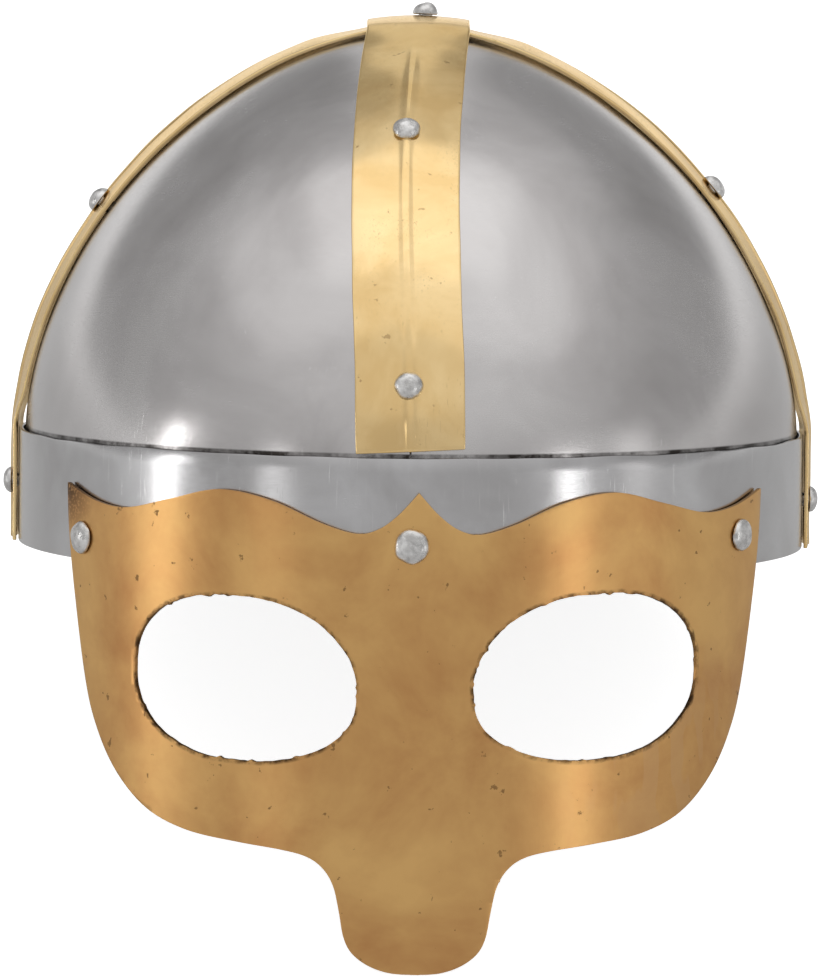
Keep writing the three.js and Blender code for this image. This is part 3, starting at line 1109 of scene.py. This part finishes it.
@dataclass
class ArchBand:
    """A creased brass band bent over the dome.

    The ends of the flat stretch round the crown, of the lift over the crossing and of the
    crease are in band widths from the crown.
    """

    name: str
    node: str
    run: Run
    arch: Arch
    cross_radius: float
    crossing: float = 0.0
    front_end: float | None = None
    sway: float = 0.0
    sway_shape: float = 1.6
    crown_sway: float = 0.0
    crown_sway_shape: float = 6
    ridge: float = 1.5
    flat_ridge: float = 0.3
    flat_ends: Span = (0.5, 1.1)
    crossing_ends: Span = (0.55, 1.2)
    crease_ends: Span = (1.0, 2.6)
    step_start: float = 11.0
    crease_height: float = 0.5
    crease_width: float = 0.9
    end_slant: float = 0.0
    slant_rows: int = 6
    skirt_rows: int = 12
    fineness: int = 110
    columns: int = 40
    edge_wander: float = 0.35
    edge_waves: Span = (0.09, 3)
    edge_round: float = 0.22
    lump_size: float = 13
    lump_height: float = 0.22

    def place(self, out: float, across: float, height: float) -> Vector:
        """A place in the helmet.

        Args:
            out: Distance along the band's plane from the middle.
            across: Distance across it.
            height: Height above the brow band's lower edge.

        Returns:
            The place.
        """
        if self.run is Run.FRONT_TO_BACK:
            return Vector((across, out, height))
        return Vector((out, -across, height))

    @staticmethod
    def _clear_of_top(out: float, ends: Span) -> float:
        """How far a place is clear of the crown, from 0 to 1 between two ends."""
        return ease(out, SIZES.band_width * ends[0], SIZES.band_width * ends[1])

    def stand_off(self, foot: Vector, half: Half, over_brow: bool, crossing: float) -> Station:
        """Lifts a place on the dome clear of what the band crosses there.

        Args:
            foot: The place on the dome's outline.
            half: The half of the arch that it is on.
            over_brow: Whether the band goes down over the brow band there.
            crossing: Lift over the band below at the crown.

        Returns:
            The station of the band's inner face.
        """
        normal = self.arch.normal(foot) if foot.x > 0 else Vector((0, 1))
        near_brow = 1 - ease(foot.y, SIZES.brow_height, SIZES.brow_height + self.step_start)
        near_top = 1 - self._clear_of_top(foot.x, self.crossing_ends)
        step = SIZES.brow_step * near_brow if over_brow else 0
        lift = SIZES.fit + step + crossing * near_top
        return Station(half, foot.x + normal.x * lift, foot.y + normal.y * lift, normal)

    def _half_arch(self, half: Half, low_end: float, over_brow: bool) -> list[Station]:
        """Stations of one half of the arch, from its end up towards the crown.

        Args:
            half: Which half.
            low_end: Height of its end.
            over_brow: Whether it goes down over the brow band.

        Returns:
            The stations.
        """
        stations = []
        if over_brow:
            out = self.arch.half_axis + SIZES.brow_step + SIZES.fit
            for row in range(self.skirt_rows):
                height = low_end + (SIZES.brow_height - low_end) * row / self.skirt_rows
                stations.append(Station(half, out, height, Vector((1, 0))))
        first = 0.0 if over_brow else self.arch.angle_at(low_end)
        for step in range(self.fineness):
            foot = self.arch.point(first + (QUARTER_TURN - first) * step / self.fineness)
            stations.append(self.stand_off(foot, half, over_brow, self.crossing))
        return stations

    @property
    def crown(self) -> Station:
        """The station at the dome's point."""
        return self.stand_off(Vector((0, SIZES.top)), Half.LAST, False, self.crossing)

    def stations(self) -> list[Station]:
        """Stations from one end of the band over the crown to the other."""
        first = self._half_arch(Half.FIRST, self.front_end or 0.0, self.front_end is None)
        return [*first, self.crown, *reversed(self._half_arch(Half.LAST, 0.0, True))]

    def ridge_at(self, station: Station) -> float:
        """Height of the ridge: full on the dome, beaten flat at the crown and the brow.

        Args:
            station: The place along the band.

        Returns:
            The height above the band's edges.
        """
        clear_of_top = self._clear_of_top(station.out, self.flat_ends)
        clear_of_brow = ease(station.height, SIZES.brow_height,
                             SIZES.brow_height + self.step_start)
        return self.flat_ridge + (self.ridge - self.flat_ridge) * min(clear_of_top, clear_of_brow)

    def sway_at(self, station: Station) -> float:
        """How far the band's middle wanders to one side.

        Args:
            station: The place along the band.

        Returns:
            The distance.
        """
        climb = min(max((station.height - SIZES.brow_height) / SIZES.dome_rise, 0.0), 1.0)
        wander = 0.0
        if station.half is Half.FIRST:
            wander = self.sway * math.sin(math.pi * climb ** self.sway_shape)
        return self.crown_sway * climb ** self.crown_sway_shape - wander

    def surface(self, station: Station, share: float) -> Vector:
        """A place on the band's inner face.

        Args:
            station: The place along the band.
            share: Place across it, from -1 to 1.

        Returns:
            The place.
        """
        across = share * SIZES.band_width / 2
        droop = across ** 2 / (2 * self.cross_radius)
        clear_of_top = self._clear_of_top(station.out, self.crease_ends)
        crease = self.crease_height * clear_of_top * math.exp(-(across / self.crease_width) ** 2)
        rise = self.ridge_at(station) * (1 - abs(share)) + crease - droop
        out = station.half.value * (station.out + station.normal.x * rise)
        return self.place(out, across + self.sway_at(station),
                          station.height + station.normal.y * rise)

    def build(self) -> Piece:
        """Adds the band as a flat grid and bends it over the arch.

        Returns:
            The band, upright.
        """
        stations = self.stations()
        last = len(stations) - 1
        clear_selection()
        bpy.ops.mesh.primitive_grid_add(x_subdivisions=last, y_subdivisions=self.columns, size=2)
        band = active_named(self.name)

        def bent(place: Vector) -> Vector:
            """Takes a place on the flat grid to its place on the arch.

            Args:
                place: The place on the grid.

            Returns:
                The place on the band's inner face.
            """
            index = round((place.x + 1) / 2 * last)
            along, across = self.edge_waves
            wave = noise.noise(Vector((index * along, place.y * across, self.cross_radius)))
            share = place.y * (1 + self.edge_wander * wave / SIZES.band_width)
            slant = self.end_slant * max(1 - index / self.slant_rows, 0) * (1 - share) / 2
            return self.surface(stations[index], share) - Vector((0, 0, slant))

        reshape(band, bent)
        tidy_normals(band)
        outward(band)
        lumpy(band, self.lump_size, self.lump_height)
        finish_with(band, "SOLIDIFY", thickness=SIZES.brass, offset=1)
        soften(band, self.edge_round)
        return band

    def dress(self) -> None:
        """Builds and registers the band."""
        hand_over(self.build(), BAND_BRASS, [self.node], angle=50)


@dataclass(frozen=True)
class EyeOpening:
    """One oval eye opening in the flat mask, measured from the mask's middle line."""

    hand: Hand
    centre: Point
    half: Span


@dataclass
class FaceMask:
    """The brass sheet with its spectacle openings and nose guard.

    The outline is that of the flat sheet's right half, down from the middle of its upper edge.
    """

    shift: float = 2.2
    half_span: float = 107.0
    strip: float = 2.0
    cross_cuts: Sequence[int] = range(-92, 20, 6)
    eyes: Sequence[EyeOpening] = (EyeOpening(Hand.LEFT, (46.0, -25.6), (31.3, 20.2)),
                                  EyeOpening(Hand.RIGHT, (46.0, -24.6), (32.3, 20.4)))
    eye_tilt: float = math.radians(3)
    eye_droop: float = 2.4
    eye_fullness: float = 0.035
    eye_steps: int = 180
    file_marks: Sequence[Triple] = ((0.12, 0.5, 40), (0.22, 0.12, 90))
    burr_size: float = 1.6
    burr_grain: float = 0.8
    burr_start: float = 0.3
    burr_seed: float = 50
    burr_reach: float = 4.0
    edge_round: float = 0.22
    brow_steps: int = 8
    brow_points: Sequence[Point] = (
        (0, 21.1), (5, 15.6), (10, 12), (15.4, 11), (24, 13.4), (37, 18.6), (51, 20.7),
        (66, 17.6), (81, 14.6), (94, 15.6), (107, 19.2))
    cheek_steps: int = 7
    cheek_points: Sequence[Point] = (
        (107, 17.6), (106.2, 8), (103.6, -6), (97.5, -30), (92, -42), (84, -52), (73, -60),
        (60, -64.3), (45, -66.2), (33, -67.5), (26.5, -69), (22.5, -71.8), (20, -76),
        (18.6, -82), (17.4, -88.3), (15.3, -92.3), (11.2, -95.3), (6, -97), (0, -97.4))
    arc_steps: int = 900
    arc: list[float] = field(default_factory=list)

    @staticmethod
    def _spline(points: Sequence[Point], per_span: int) -> list[Vector]:
        """A smooth line through points, as a drawn curve runs.

        Args:
            points: The places that the line goes through.
            per_span: Steps between two of them.

        Returns:
            Places along the line.
        """
        places = [Vector((x, y, 0)) for x, y in points]
        line = []
        for i in range(len(places) - 1):
            a, b = places[max(i - 1, 0)], places[i]
            c, d = places[i + 1], places[min(i + 2, len(places) - 1)]
            for step in range(per_span):
                t = step / per_span
                line.append(0.5 * ((2 * b) + (c - a) * t + (2 * a - 5 * b + 4 * c - d) * t * t
                                   + (3 * b - a - 3 * c + d) * t ** 3))
        return [*line, places[-1]]

    def _eye_rim(self, eye: EyeOpening) -> Piece:
        """One eye opening's rim, a circle squeezed to its oval and roughly filed.

        Args:
            eye: The opening.

        Returns:
            The rim, a closed line of edges in the flat sheet.
        """
        side, half = eye.hand.value, eye.half
        clear_selection()
        bpy.ops.mesh.primitive_circle_add(vertices=self.eye_steps, radius=1, fill_type="NOTHING")
        rim = active_named("eye_rim")
        with editing(rim):
            select_everything()
            bpy.ops.transform.resize(value=(*half, 1), center_override=(0, 0, 0))
        tilt = Matrix.Rotation(side * self.eye_tilt, 3, "Z")

        def filed(place: Vector) -> Vector:
            """Fills the oval out a little, lets its inner end droop and leaves it uneven.

            Args:
                place: A place on the even oval.

            Returns:
                Its new place in the flat sheet.
            """
            shape = Vector((place.x / half[0], place.y / half[1], 0))
            fuller = 1 + self.eye_fullness * abs(math.sin(2 * math.atan2(shape.y, shape.x)))
            rough = sum(depth * noise.noise(place * grain + Vector((side * seed, 0, 0)))
                        for depth, grain, seed in self.file_marks)
            nick = noise.noise(place * self.burr_grain + Vector((0, side * self.burr_seed, 0)))
            rough -= self.burr_size * max(nick - self.burr_start, 0)
            droop = self.eye_droop * max(-side * shape.x, 0.0) ** 3
            place = tilt @ (place * fuller + shape * rough - Vector((0, droop, 0)))
            return place + Vector((side * eye.centre[0], eye.centre[1], 0))

        reshape(rim, filed)
        return rim

    @property
    def _oval(self) -> Span:
        """Half the width and length of the oval that the mask's inner face follows."""
        return SIZES.half_width + SIZES.fit, SIZES.half_length + SIZES.fit

    def _arc_angle(self, length: float) -> float:
        """Angle round the brow oval for a length of arc from the front.

        Args:
            length: The length, positive to the right.

        Returns:
            The angle, positive to the right.
        """
        stride = QUARTER_TURN / self.arc_steps
        if not self.arc:
            width, depth = self._oval
            self.arc.append(0.0)
            for i in range(self.arc_steps):
                middle = (i + 0.5) * stride
                step = math.hypot(width * math.cos(middle), depth * math.sin(middle))
                self.arc.append(self.arc[-1] + stride * step)
        low = next(i for i in range(self.arc_steps) if self.arc[i + 1] >= abs(length))
        share = (abs(length) - self.arc[low]) / (self.arc[low + 1] - self.arc[low])
        return math.copysign((low + share) * stride, length)

    def _outline(self) -> Piece:
        """Draws the flat sheet's outline, the right half and its mirror image.

        Returns:
            The closed outline.
        """
        right = [*self._spline(self.brow_points, self.brow_steps),
                 *self._spline(self.cheek_points, self.cheek_steps)]
        left = [Vector((-p.x, p.y, 0)) for p in reversed(right[1:-1])]
        return drawn_line("spectacle_mask", [*right, *left], closed=True)

    def _fill(self, mask: Piece) -> None:
        """Fills the outline round the openings and cuts it into strips that will bend.

        Args:
            mask: The flat outline with the rims of the openings.
        """
        with editing(mask):
            select_everything()
            bpy.ops.mesh.fill(use_beauty=False)
            count = math.ceil(2 * self.half_span / self.strip)
            cuts = [((-self.half_span + 2 * self.half_span * i / count, 0, 0), (1, 0, 0))
                    for i in range(1, count)]
            cuts += [((0, height, 0), (0, 1, 0)) for height in self.cross_cuts]
            for place, normal in cuts:
                select_everything()
                bpy.ops.mesh.bisect(plane_co=place, plane_no=normal)
        tidy_normals(mask, merge=0.01)

    def build(self) -> Piece:
        """Draws the mask flat, cuts it into strips and bends it round the brow band.

        Returns:
            The mask, upright.
        """
        mask = self._outline()
        rims = [self._eye_rim(eye) for eye in self.eyes]
        edge = [vertex.co.copy() for rim in rims for vertex in rim.data.vertices]
        take(mask)
        for rim in rims:
            rim.select_set(True)
        bpy.ops.object.join()
        self._fill(mask)
        self._mark_burrs(mask, edge)
        reshape(mask, lambda p: oval_point(self._oval, self._arc_angle(p.x + self.shift), p.y, 0))
        outward(mask)
        finish_with(mask, "SOLIDIFY", thickness=SIZES.brass, offset=1)
        soften(mask, self.edge_round)
        return mask

    def _mark_burrs(self, mask: Piece, edge: Sequence[Vector]) -> None:
        """Stores how near each point lies to the rim of an eye opening.

        Args:
            mask: The flat mask.
            edge: Points of both rims.
        """
        values = mask.data.attributes.new("burr", "FLOAT", "POINT")
        for vertex, value in zip(mask.data.vertices, values.data):
            nearest = min((vertex.co - point).length for point in edge)
            value.value = 1 - ease(nearest, 0.0, self.burr_reach)

    def dress(self) -> None:
        """Builds and registers the mask."""
        hand_over(self.build(), MASK_BRASS, ["face_mask"])


@dataclass(frozen=True)
class RivetPlan:
    """Where one rivet sits, its head's radius and height, and how deep it grips."""

    node: str
    seat: Vector
    axis: Vector
    head: Span
    grip: float


@dataclass
class Rivets:
    """The domed rivets, each with its shank and the washer that it is beaten down on inside."""

    crest: ArchBand
    cross: ArchBand
    shank: float = 1.8
    washer: float = 5.5
    washer_thickness: float = 1.2
    seat_gap: float = 0.1
    band_slack: float = 1.0
    brow_slack: float = 0.8
    turns: int = 40
    head_rings: int = 12
    head_foot: float = 0.25
    chamfer: float = 0.3
    tail: float = 1.0
    band_head: Span = (3.5, 2.8)
    nape_head: Span = (3.5, 2.6)
    ear_head: Span = (3.4, 2.4)
    mask_head: Span = (4.1, 2.2)
    nose_head: Span = (4.3, 2.4)
    crown_head: Span = (3.3, 3.2)
    crown_offset: float = 2.6
    crown_lean: float = 0.03
    crown_grip: float = 7.0
    out_of_round: float = 0.06
    out_of_round_grain: float = 2.6
    lump_height: float = 0.10
    lump_size: float = 3

    def on_crown(self) -> RivetPlan:
        """The rivet through both bands at the crown.

        Returns:
            The plan.
        """
        height = self.crest.crown.height + SIZES.brass + self.crest.flat_ridge + self.seat_gap
        return RivetPlan("rivet_crown", Vector((self.crown_offset, 0, height)),
                         Vector((self.crown_lean, 0, 1)).normalized(), self.crown_head,
                         self.crown_grip)

    def on_band(self, node: str, band: ArchBand, degrees: float, half: Half,
                across: float = 0.0) -> RivetPlan:
        """A rivet through a band on the dome.

        Args:
            node: Its CAD node.
            band: The band that it goes through.
            degrees: Angle up the band's arch.
            half: The half of the arch that it is on.
            across: Distance off the band's middle.

        Returns:
            The plan.
        """
        station = band.stand_off(band.arch.point(math.radians(degrees)), half, False, 0.0)
        rise = SIZES.brass + band.ridge_at(station) + self.seat_gap
        seat = band.place(half.value * (station.out + station.normal.x * rise), across,
                          station.height + station.normal.y * rise)
        axis = band.place(half.value * station.normal.x, 0, station.normal.y)
        return RivetPlan(node, seat, axis, self.band_head,
                         rise + SIZES.fit + SIZES.steel + self.band_slack)

    def on_brow(self, node: str, degrees: float, height: float, layer: float,
                head: Span) -> RivetPlan:
        """A rivet through the brow band and the layer on it.

        Args:
            node: Its CAD node.
            degrees: Angle round the brow band from the front, positive to the right.
            height: Height above the brow band's lower edge.
            layer: How far the layer stands off the brow band.
            head: The head's radius and height.

        Returns:
            The plan.
        """
        off = layer + self.seat_gap
        brow = SIZES.half_width, SIZES.half_length
        seat = oval_point(brow, math.radians(degrees), height, off)
        axis = seat - oval_point(brow, math.radians(degrees), height, off - 1)
        return RivetPlan(node, seat, axis, head,
                         off + 2 * SIZES.steel + SIZES.fit + self.brow_slack)

    def plans(self) -> list[RivetPlan]:
        """The plans of all twelve rivets.

        Returns:
            One plan for each rivet.
        """
        crest, cross = self.crest, self.cross
        mask = SIZES.fit + SIZES.brass
        band = mask + crest.flat_ridge
        return [
            self.on_crown(),
            self.on_band("rivet_front_upper", crest, 49.5, Half.FIRST, -1.9),
            self.on_band("rivet_front_lower", crest, 11.5, Half.FIRST, -0.6),
            self.on_band("rivet_back_upper", crest, 47, Half.LAST),
            self.on_band("rivet_left_upper", cross, 36, Half.FIRST),
            self.on_band("rivet_right_upper", cross, 39, Half.LAST),
            self.on_brow("rivet_back_lower", 180, 14, band, self.nape_head),
            self.on_brow("rivet_left_lower", -90, 15, band, self.ear_head),
            self.on_brow("rivet_right_lower", 90, 12, band, self.ear_head),
            self.on_brow("rivet_mask_left", -51.9, 5.8, mask, self.mask_head),
            self.on_brow("rivet_mask_centre", 0.3, 8, mask, self.nose_head),
            self.on_brow("rivet_mask_right", 52.7, 8, mask, self.mask_head),
        ]

    def _outline(self, plan: RivetPlan) -> list[Vector]:
        """Half a rivet's outline, from the tail over the washer and the shank to the head.

        Args:
            plan: The rivet's plan.

        Returns:
            Places out and up along its axis.
        """
        shank, washer, cut, tail = self.shank, self.washer, self.chamfer, self.tail
        radius, height = plan.head
        top, low = -plan.grip, -plan.grip - self.washer_thickness
        line = [(0, low - tail), (shank * 0.6, low - 0.9 * tail), (shank, low - tail / 2),
                (shank + 0.6 * tail, low), (washer - cut, low), (washer, low + cut),
                (washer, top - cut), (washer - cut, top), (shank, top), (shank, 0),
                (radius - cut, 0)]
        for ring in range(self.head_rings + 1):
            angle = QUARTER_TURN * ring / self.head_rings
            up = self.head_foot + (height - self.head_foot) * math.sin(angle)
            line.append((radius * math.cos(angle), up))
        return [Vector((x, 0, z)) for x, z in line]

    def build(self, plan: RivetPlan) -> Piece:
        """Spins a rivet from its outline and beats its head slightly uneven.

        Args:
            plan: The rivet's plan.

        Returns:
            The rivet, upright in its place.
        """
        rivet = drawn_line(plan.node.replace("rivet", "stud"), self._outline(plan))
        spun(rivet, self.turns)
        tidy_normals(rivet, merge=0.003)
        seed = Vector((seed_of(plan.node), 0, 0))

        def beaten(place: Vector) -> Vector:
            """Leaves the head a little out of round and lumpy.

            Args:
                place: A place on the even rivet.

            Returns:
                Its new place.
            """
            if place.z < 0:
                return place
            wide = 1 + self.out_of_round * noise.noise(place / self.out_of_round_grain + seed)
            high = 1 + self.lump_height * noise.noise(place / self.lump_size - seed)
            return Vector((place.x * wide, place.y * wide, place.z * high))

        reshape(rivet, beaten)
        turn = Vector((0, 0, 1)).rotation_difference(plan.axis).to_matrix().to_4x4()
        rivet.matrix_world = Matrix.Translation(plan.seat) @ turn
        return rivet

    def dress(self) -> None:
        """Builds and registers every rivet."""
        for plan in self.plans():
            hand_over(self.build(plan), RIVET_STEEL, [plan.node], angle=50)


def seed_of(name: str) -> float:
    """A fixed number for a name, the same in every run."""
    return sum(ord(letter) * (place + 1) for place, letter in enumerate(name)) % 97


# ---- studio ------------------------------------------------------------------------------------


@dataclass(frozen=True)
class Softbox:
    """A lamp that looks at the helmet.

    The azimuth is in degrees round from the front, positive to the right, and the elevation in
    degrees above the floor. The reach and the size are in metres, the power in watts.
    """

    name: str
    azimuth: float
    elevation: float
    reach: float
    size: Span
    power: float


@dataclass
class Studio:
    """The pale floor, the soft lights and the camera."""

    floor_size: float = 30.0
    floor_shade: float = 0.7
    floor_rough: float = 0.9
    floor_glow: float = 0.85
    far_floor: Span = (0.6, 1.2)
    far_glow: float = 0.2
    back_floor: Span = (0.45, 1.0)
    back_glow: float = 0.5
    room_front: float = 0.60
    room_back: float = 0.36
    ceiling_glow: float = 0.26
    ceiling_start: Span = (0.25, 0.8)
    ceiling_end: Span = (0.85, 0.5)
    lamp_aim: float = 0.1
    softboxes: Sequence[Softbox] = (
        Softbox("left_softbox", -79, 2, 1.4, (0.12, 0.5), 1.15),
        Softbox("left_fill", -44, 11, 1.5, (0.22, 0.36), 0.24),
        Softbox("right_softbox", 51, 4, 1.5, (0.12, 0.5), 0.8),
        Softbox("right_fill", 74, 6, 1.5, (0.3, 0.32), 0.2),
        Softbox("top_softbox", 180, 86, 1.6, (3.6, 1.6), 4.2),
        Softbox("crown_softbox", 180, 76, 1.7, (1.6, 1.1), 1.8),
        Softbox("back_softbox", 150, 40, 1.6, (0.9, 0.6), 0.3),
        Softbox("crest_softbox", 180, 28, 1.6, (0.5, 1.3), 0.8),
    )
    target: Triple = (1.3, 0.0, 13.4)
    distance: float = 1.6
    elevation: float = 4.13
    roll: float = 0.6
    lens: float = 223.3
    sensor: float = 36

    def floor(self) -> None:
        """Adds the pale floor, which looks white and glows softly where the metal mirrors it."""
        clear_selection()
        bpy.ops.mesh.primitive_plane_add(size=self.floor_size, location=(0, 0, 0))
        floor = active_named("studio_floor")
        material = bpy.data.materials.new("studio_floor")
        material.use_nodes = True
        table = NodeTable(material.node_tree)
        shader = table.tree.nodes["Principled BSDF"]
        shader.inputs["Base Color"].default_value = (*(self.floor_shade,) * 3, 1)
        shader.inputs["Roughness"].default_value = self.floor_rough
        shader.inputs["Emission Color"].default_value = (1, 1, 1, 1)
        place = table.add("TexCoord").outputs["Object"]
        reach = table.add("VectorMath", operation="LENGTH")
        table.join(place, reach.inputs[0])
        far = table.between(reach.outputs["Value"], self.far_floor, (0, self.far_glow))
        back = table.between(table.split(place).outputs["Y"], self.back_floor,
                             (0, self.back_glow))
        seen = table.combined(table.add("LightPath").outputs["Is Camera Ray"], self.floor_glow,
                              Combine.MULTIPLY)
        mirrored = table.combined(back, far, Combine.LARGER)
        table.join(table.combined(seen, mirrored, Combine.LARGER),
                   shader.inputs["Emission Strength"])
        floor.data.materials.append(material)

    def world(self) -> None:
        """Sets a grey room that the metal mirrors and a white backdrop that the camera sees."""
        world = bpy.data.worlds.new("studio")
        world.use_nodes = True
        table = NodeTable(world.node_tree)
        room = table.tree.nodes["Background"]
        split = table.split(table.add("TexCoord").outputs["Generated"])
        walls = table.between(split.outputs["Y"], (-1, 1), (self.room_front, self.room_back))
        ceiling = table.between(split.outputs["Z"], self.ceiling_start, (0, self.ceiling_glow),
                                smooth=True)
        ahead = table.between(split.outputs["Y"], self.ceiling_end, (0, 1), smooth=True)
        overhead = table.combined(ceiling, ahead, Combine.MULTIPLY)
        table.join(table.combined(overhead, walls, Combine.ADD), room.inputs["Strength"])
        backdrop = table.add("Background")
        for background in (room, backdrop):
            background.inputs["Color"].default_value = (1, 1, 1, 1)
        mix = table.add("MixShader")
        table.join(table.add("LightPath").outputs["Is Camera Ray"], mix.inputs["Fac"])
        table.join(room.outputs["Background"], mix.inputs[1])
        table.join(backdrop.outputs["Background"], mix.inputs[2])
        table.join(mix.outputs["Shader"], table.tree.nodes["World Output"].inputs["Surface"])
        bpy.context.scene.world = world

    def lights(self) -> None:
        """Adds the softboxes."""
        for box in self.softboxes:
            turn, climb = math.radians(box.azimuth), math.radians(box.elevation)
            back = Vector((math.sin(turn) * math.cos(climb), -math.cos(turn) * math.cos(climb),
                           math.sin(climb)))
            light = bpy.data.lights.new(box.name, "AREA")
            light.shape = "RECTANGLE"
            light.size, light.size_y = box.size
            light.energy = box.power
            lamp = bpy.data.objects.new(box.name, light)
            lamp.location = back * box.reach + Vector((0, 0, self.lamp_aim))
            lamp.rotation_euler = (-back).to_track_quat("-Z", "Y").to_euler()
            bpy.context.collection.objects.link(lamp)

    def camera(self) -> None:
        """Adds the camera, nearly level with the brow band of the leaned helmet."""
        data = bpy.data.cameras.new("camera")
        data.lens = self.lens
        data.sensor_width = self.sensor
        camera = bpy.data.objects.new("camera", data)
        climb = math.radians(self.elevation)
        turn = Matrix.Rotation(-REST.lean, 3, "X")
        back = turn @ Vector((0, -math.cos(climb), math.sin(climb)))
        camera.location = REST.matrix @ Vector(self.target) + back * self.distance
        aim = (-back).to_track_quat("-Z", "Y").to_matrix().to_4x4()
        roll = Matrix.Rotation(math.radians(self.roll), 4, "Z")
        camera.rotation_mode = "QUATERNION"
        camera.rotation_quaternion = (aim @ roll).to_quaternion()
        bpy.context.collection.objects.link(camera)
        bpy.context.scene.camera = camera

    def build(self) -> None:
        """Sets up the whole studio."""
        self.floor()
        self.world()
        self.lights()
        self.camera()
        bpy.context.scene.view_settings.view_transform = "Standard"


def main() -> None:
    """Builds the helmet's pieces in order, then the studio."""
    logging.basicConfig(level=logging.INFO, format="%(name)s: %(message)s")
    BrowBand().dress()
    DomePlates().dress()
    cross = ArchBand("band_ear_to_ear", "cross_band", Run.EAR_TO_EAR, SIDE_ARCH,
                     cross_radius=138.0)
    crest = ArchBand("band_front_to_back", "crest_band", Run.FRONT_TO_BACK, LENGTH_ARCH,
                     cross_radius=95.0, crossing=SIZES.brass + cross.flat_ridge + SIZES.fit,
                     front_end=SIZES.brow_height + 2.2, sway=2.0, crown_sway=0.8, end_slant=1.4)
    cross.dress()
    crest.dress()
    FaceMask().dress()
    Rivets(crest, cross).dress()
    Studio().build()


if __name__ == "__main__":
    main()
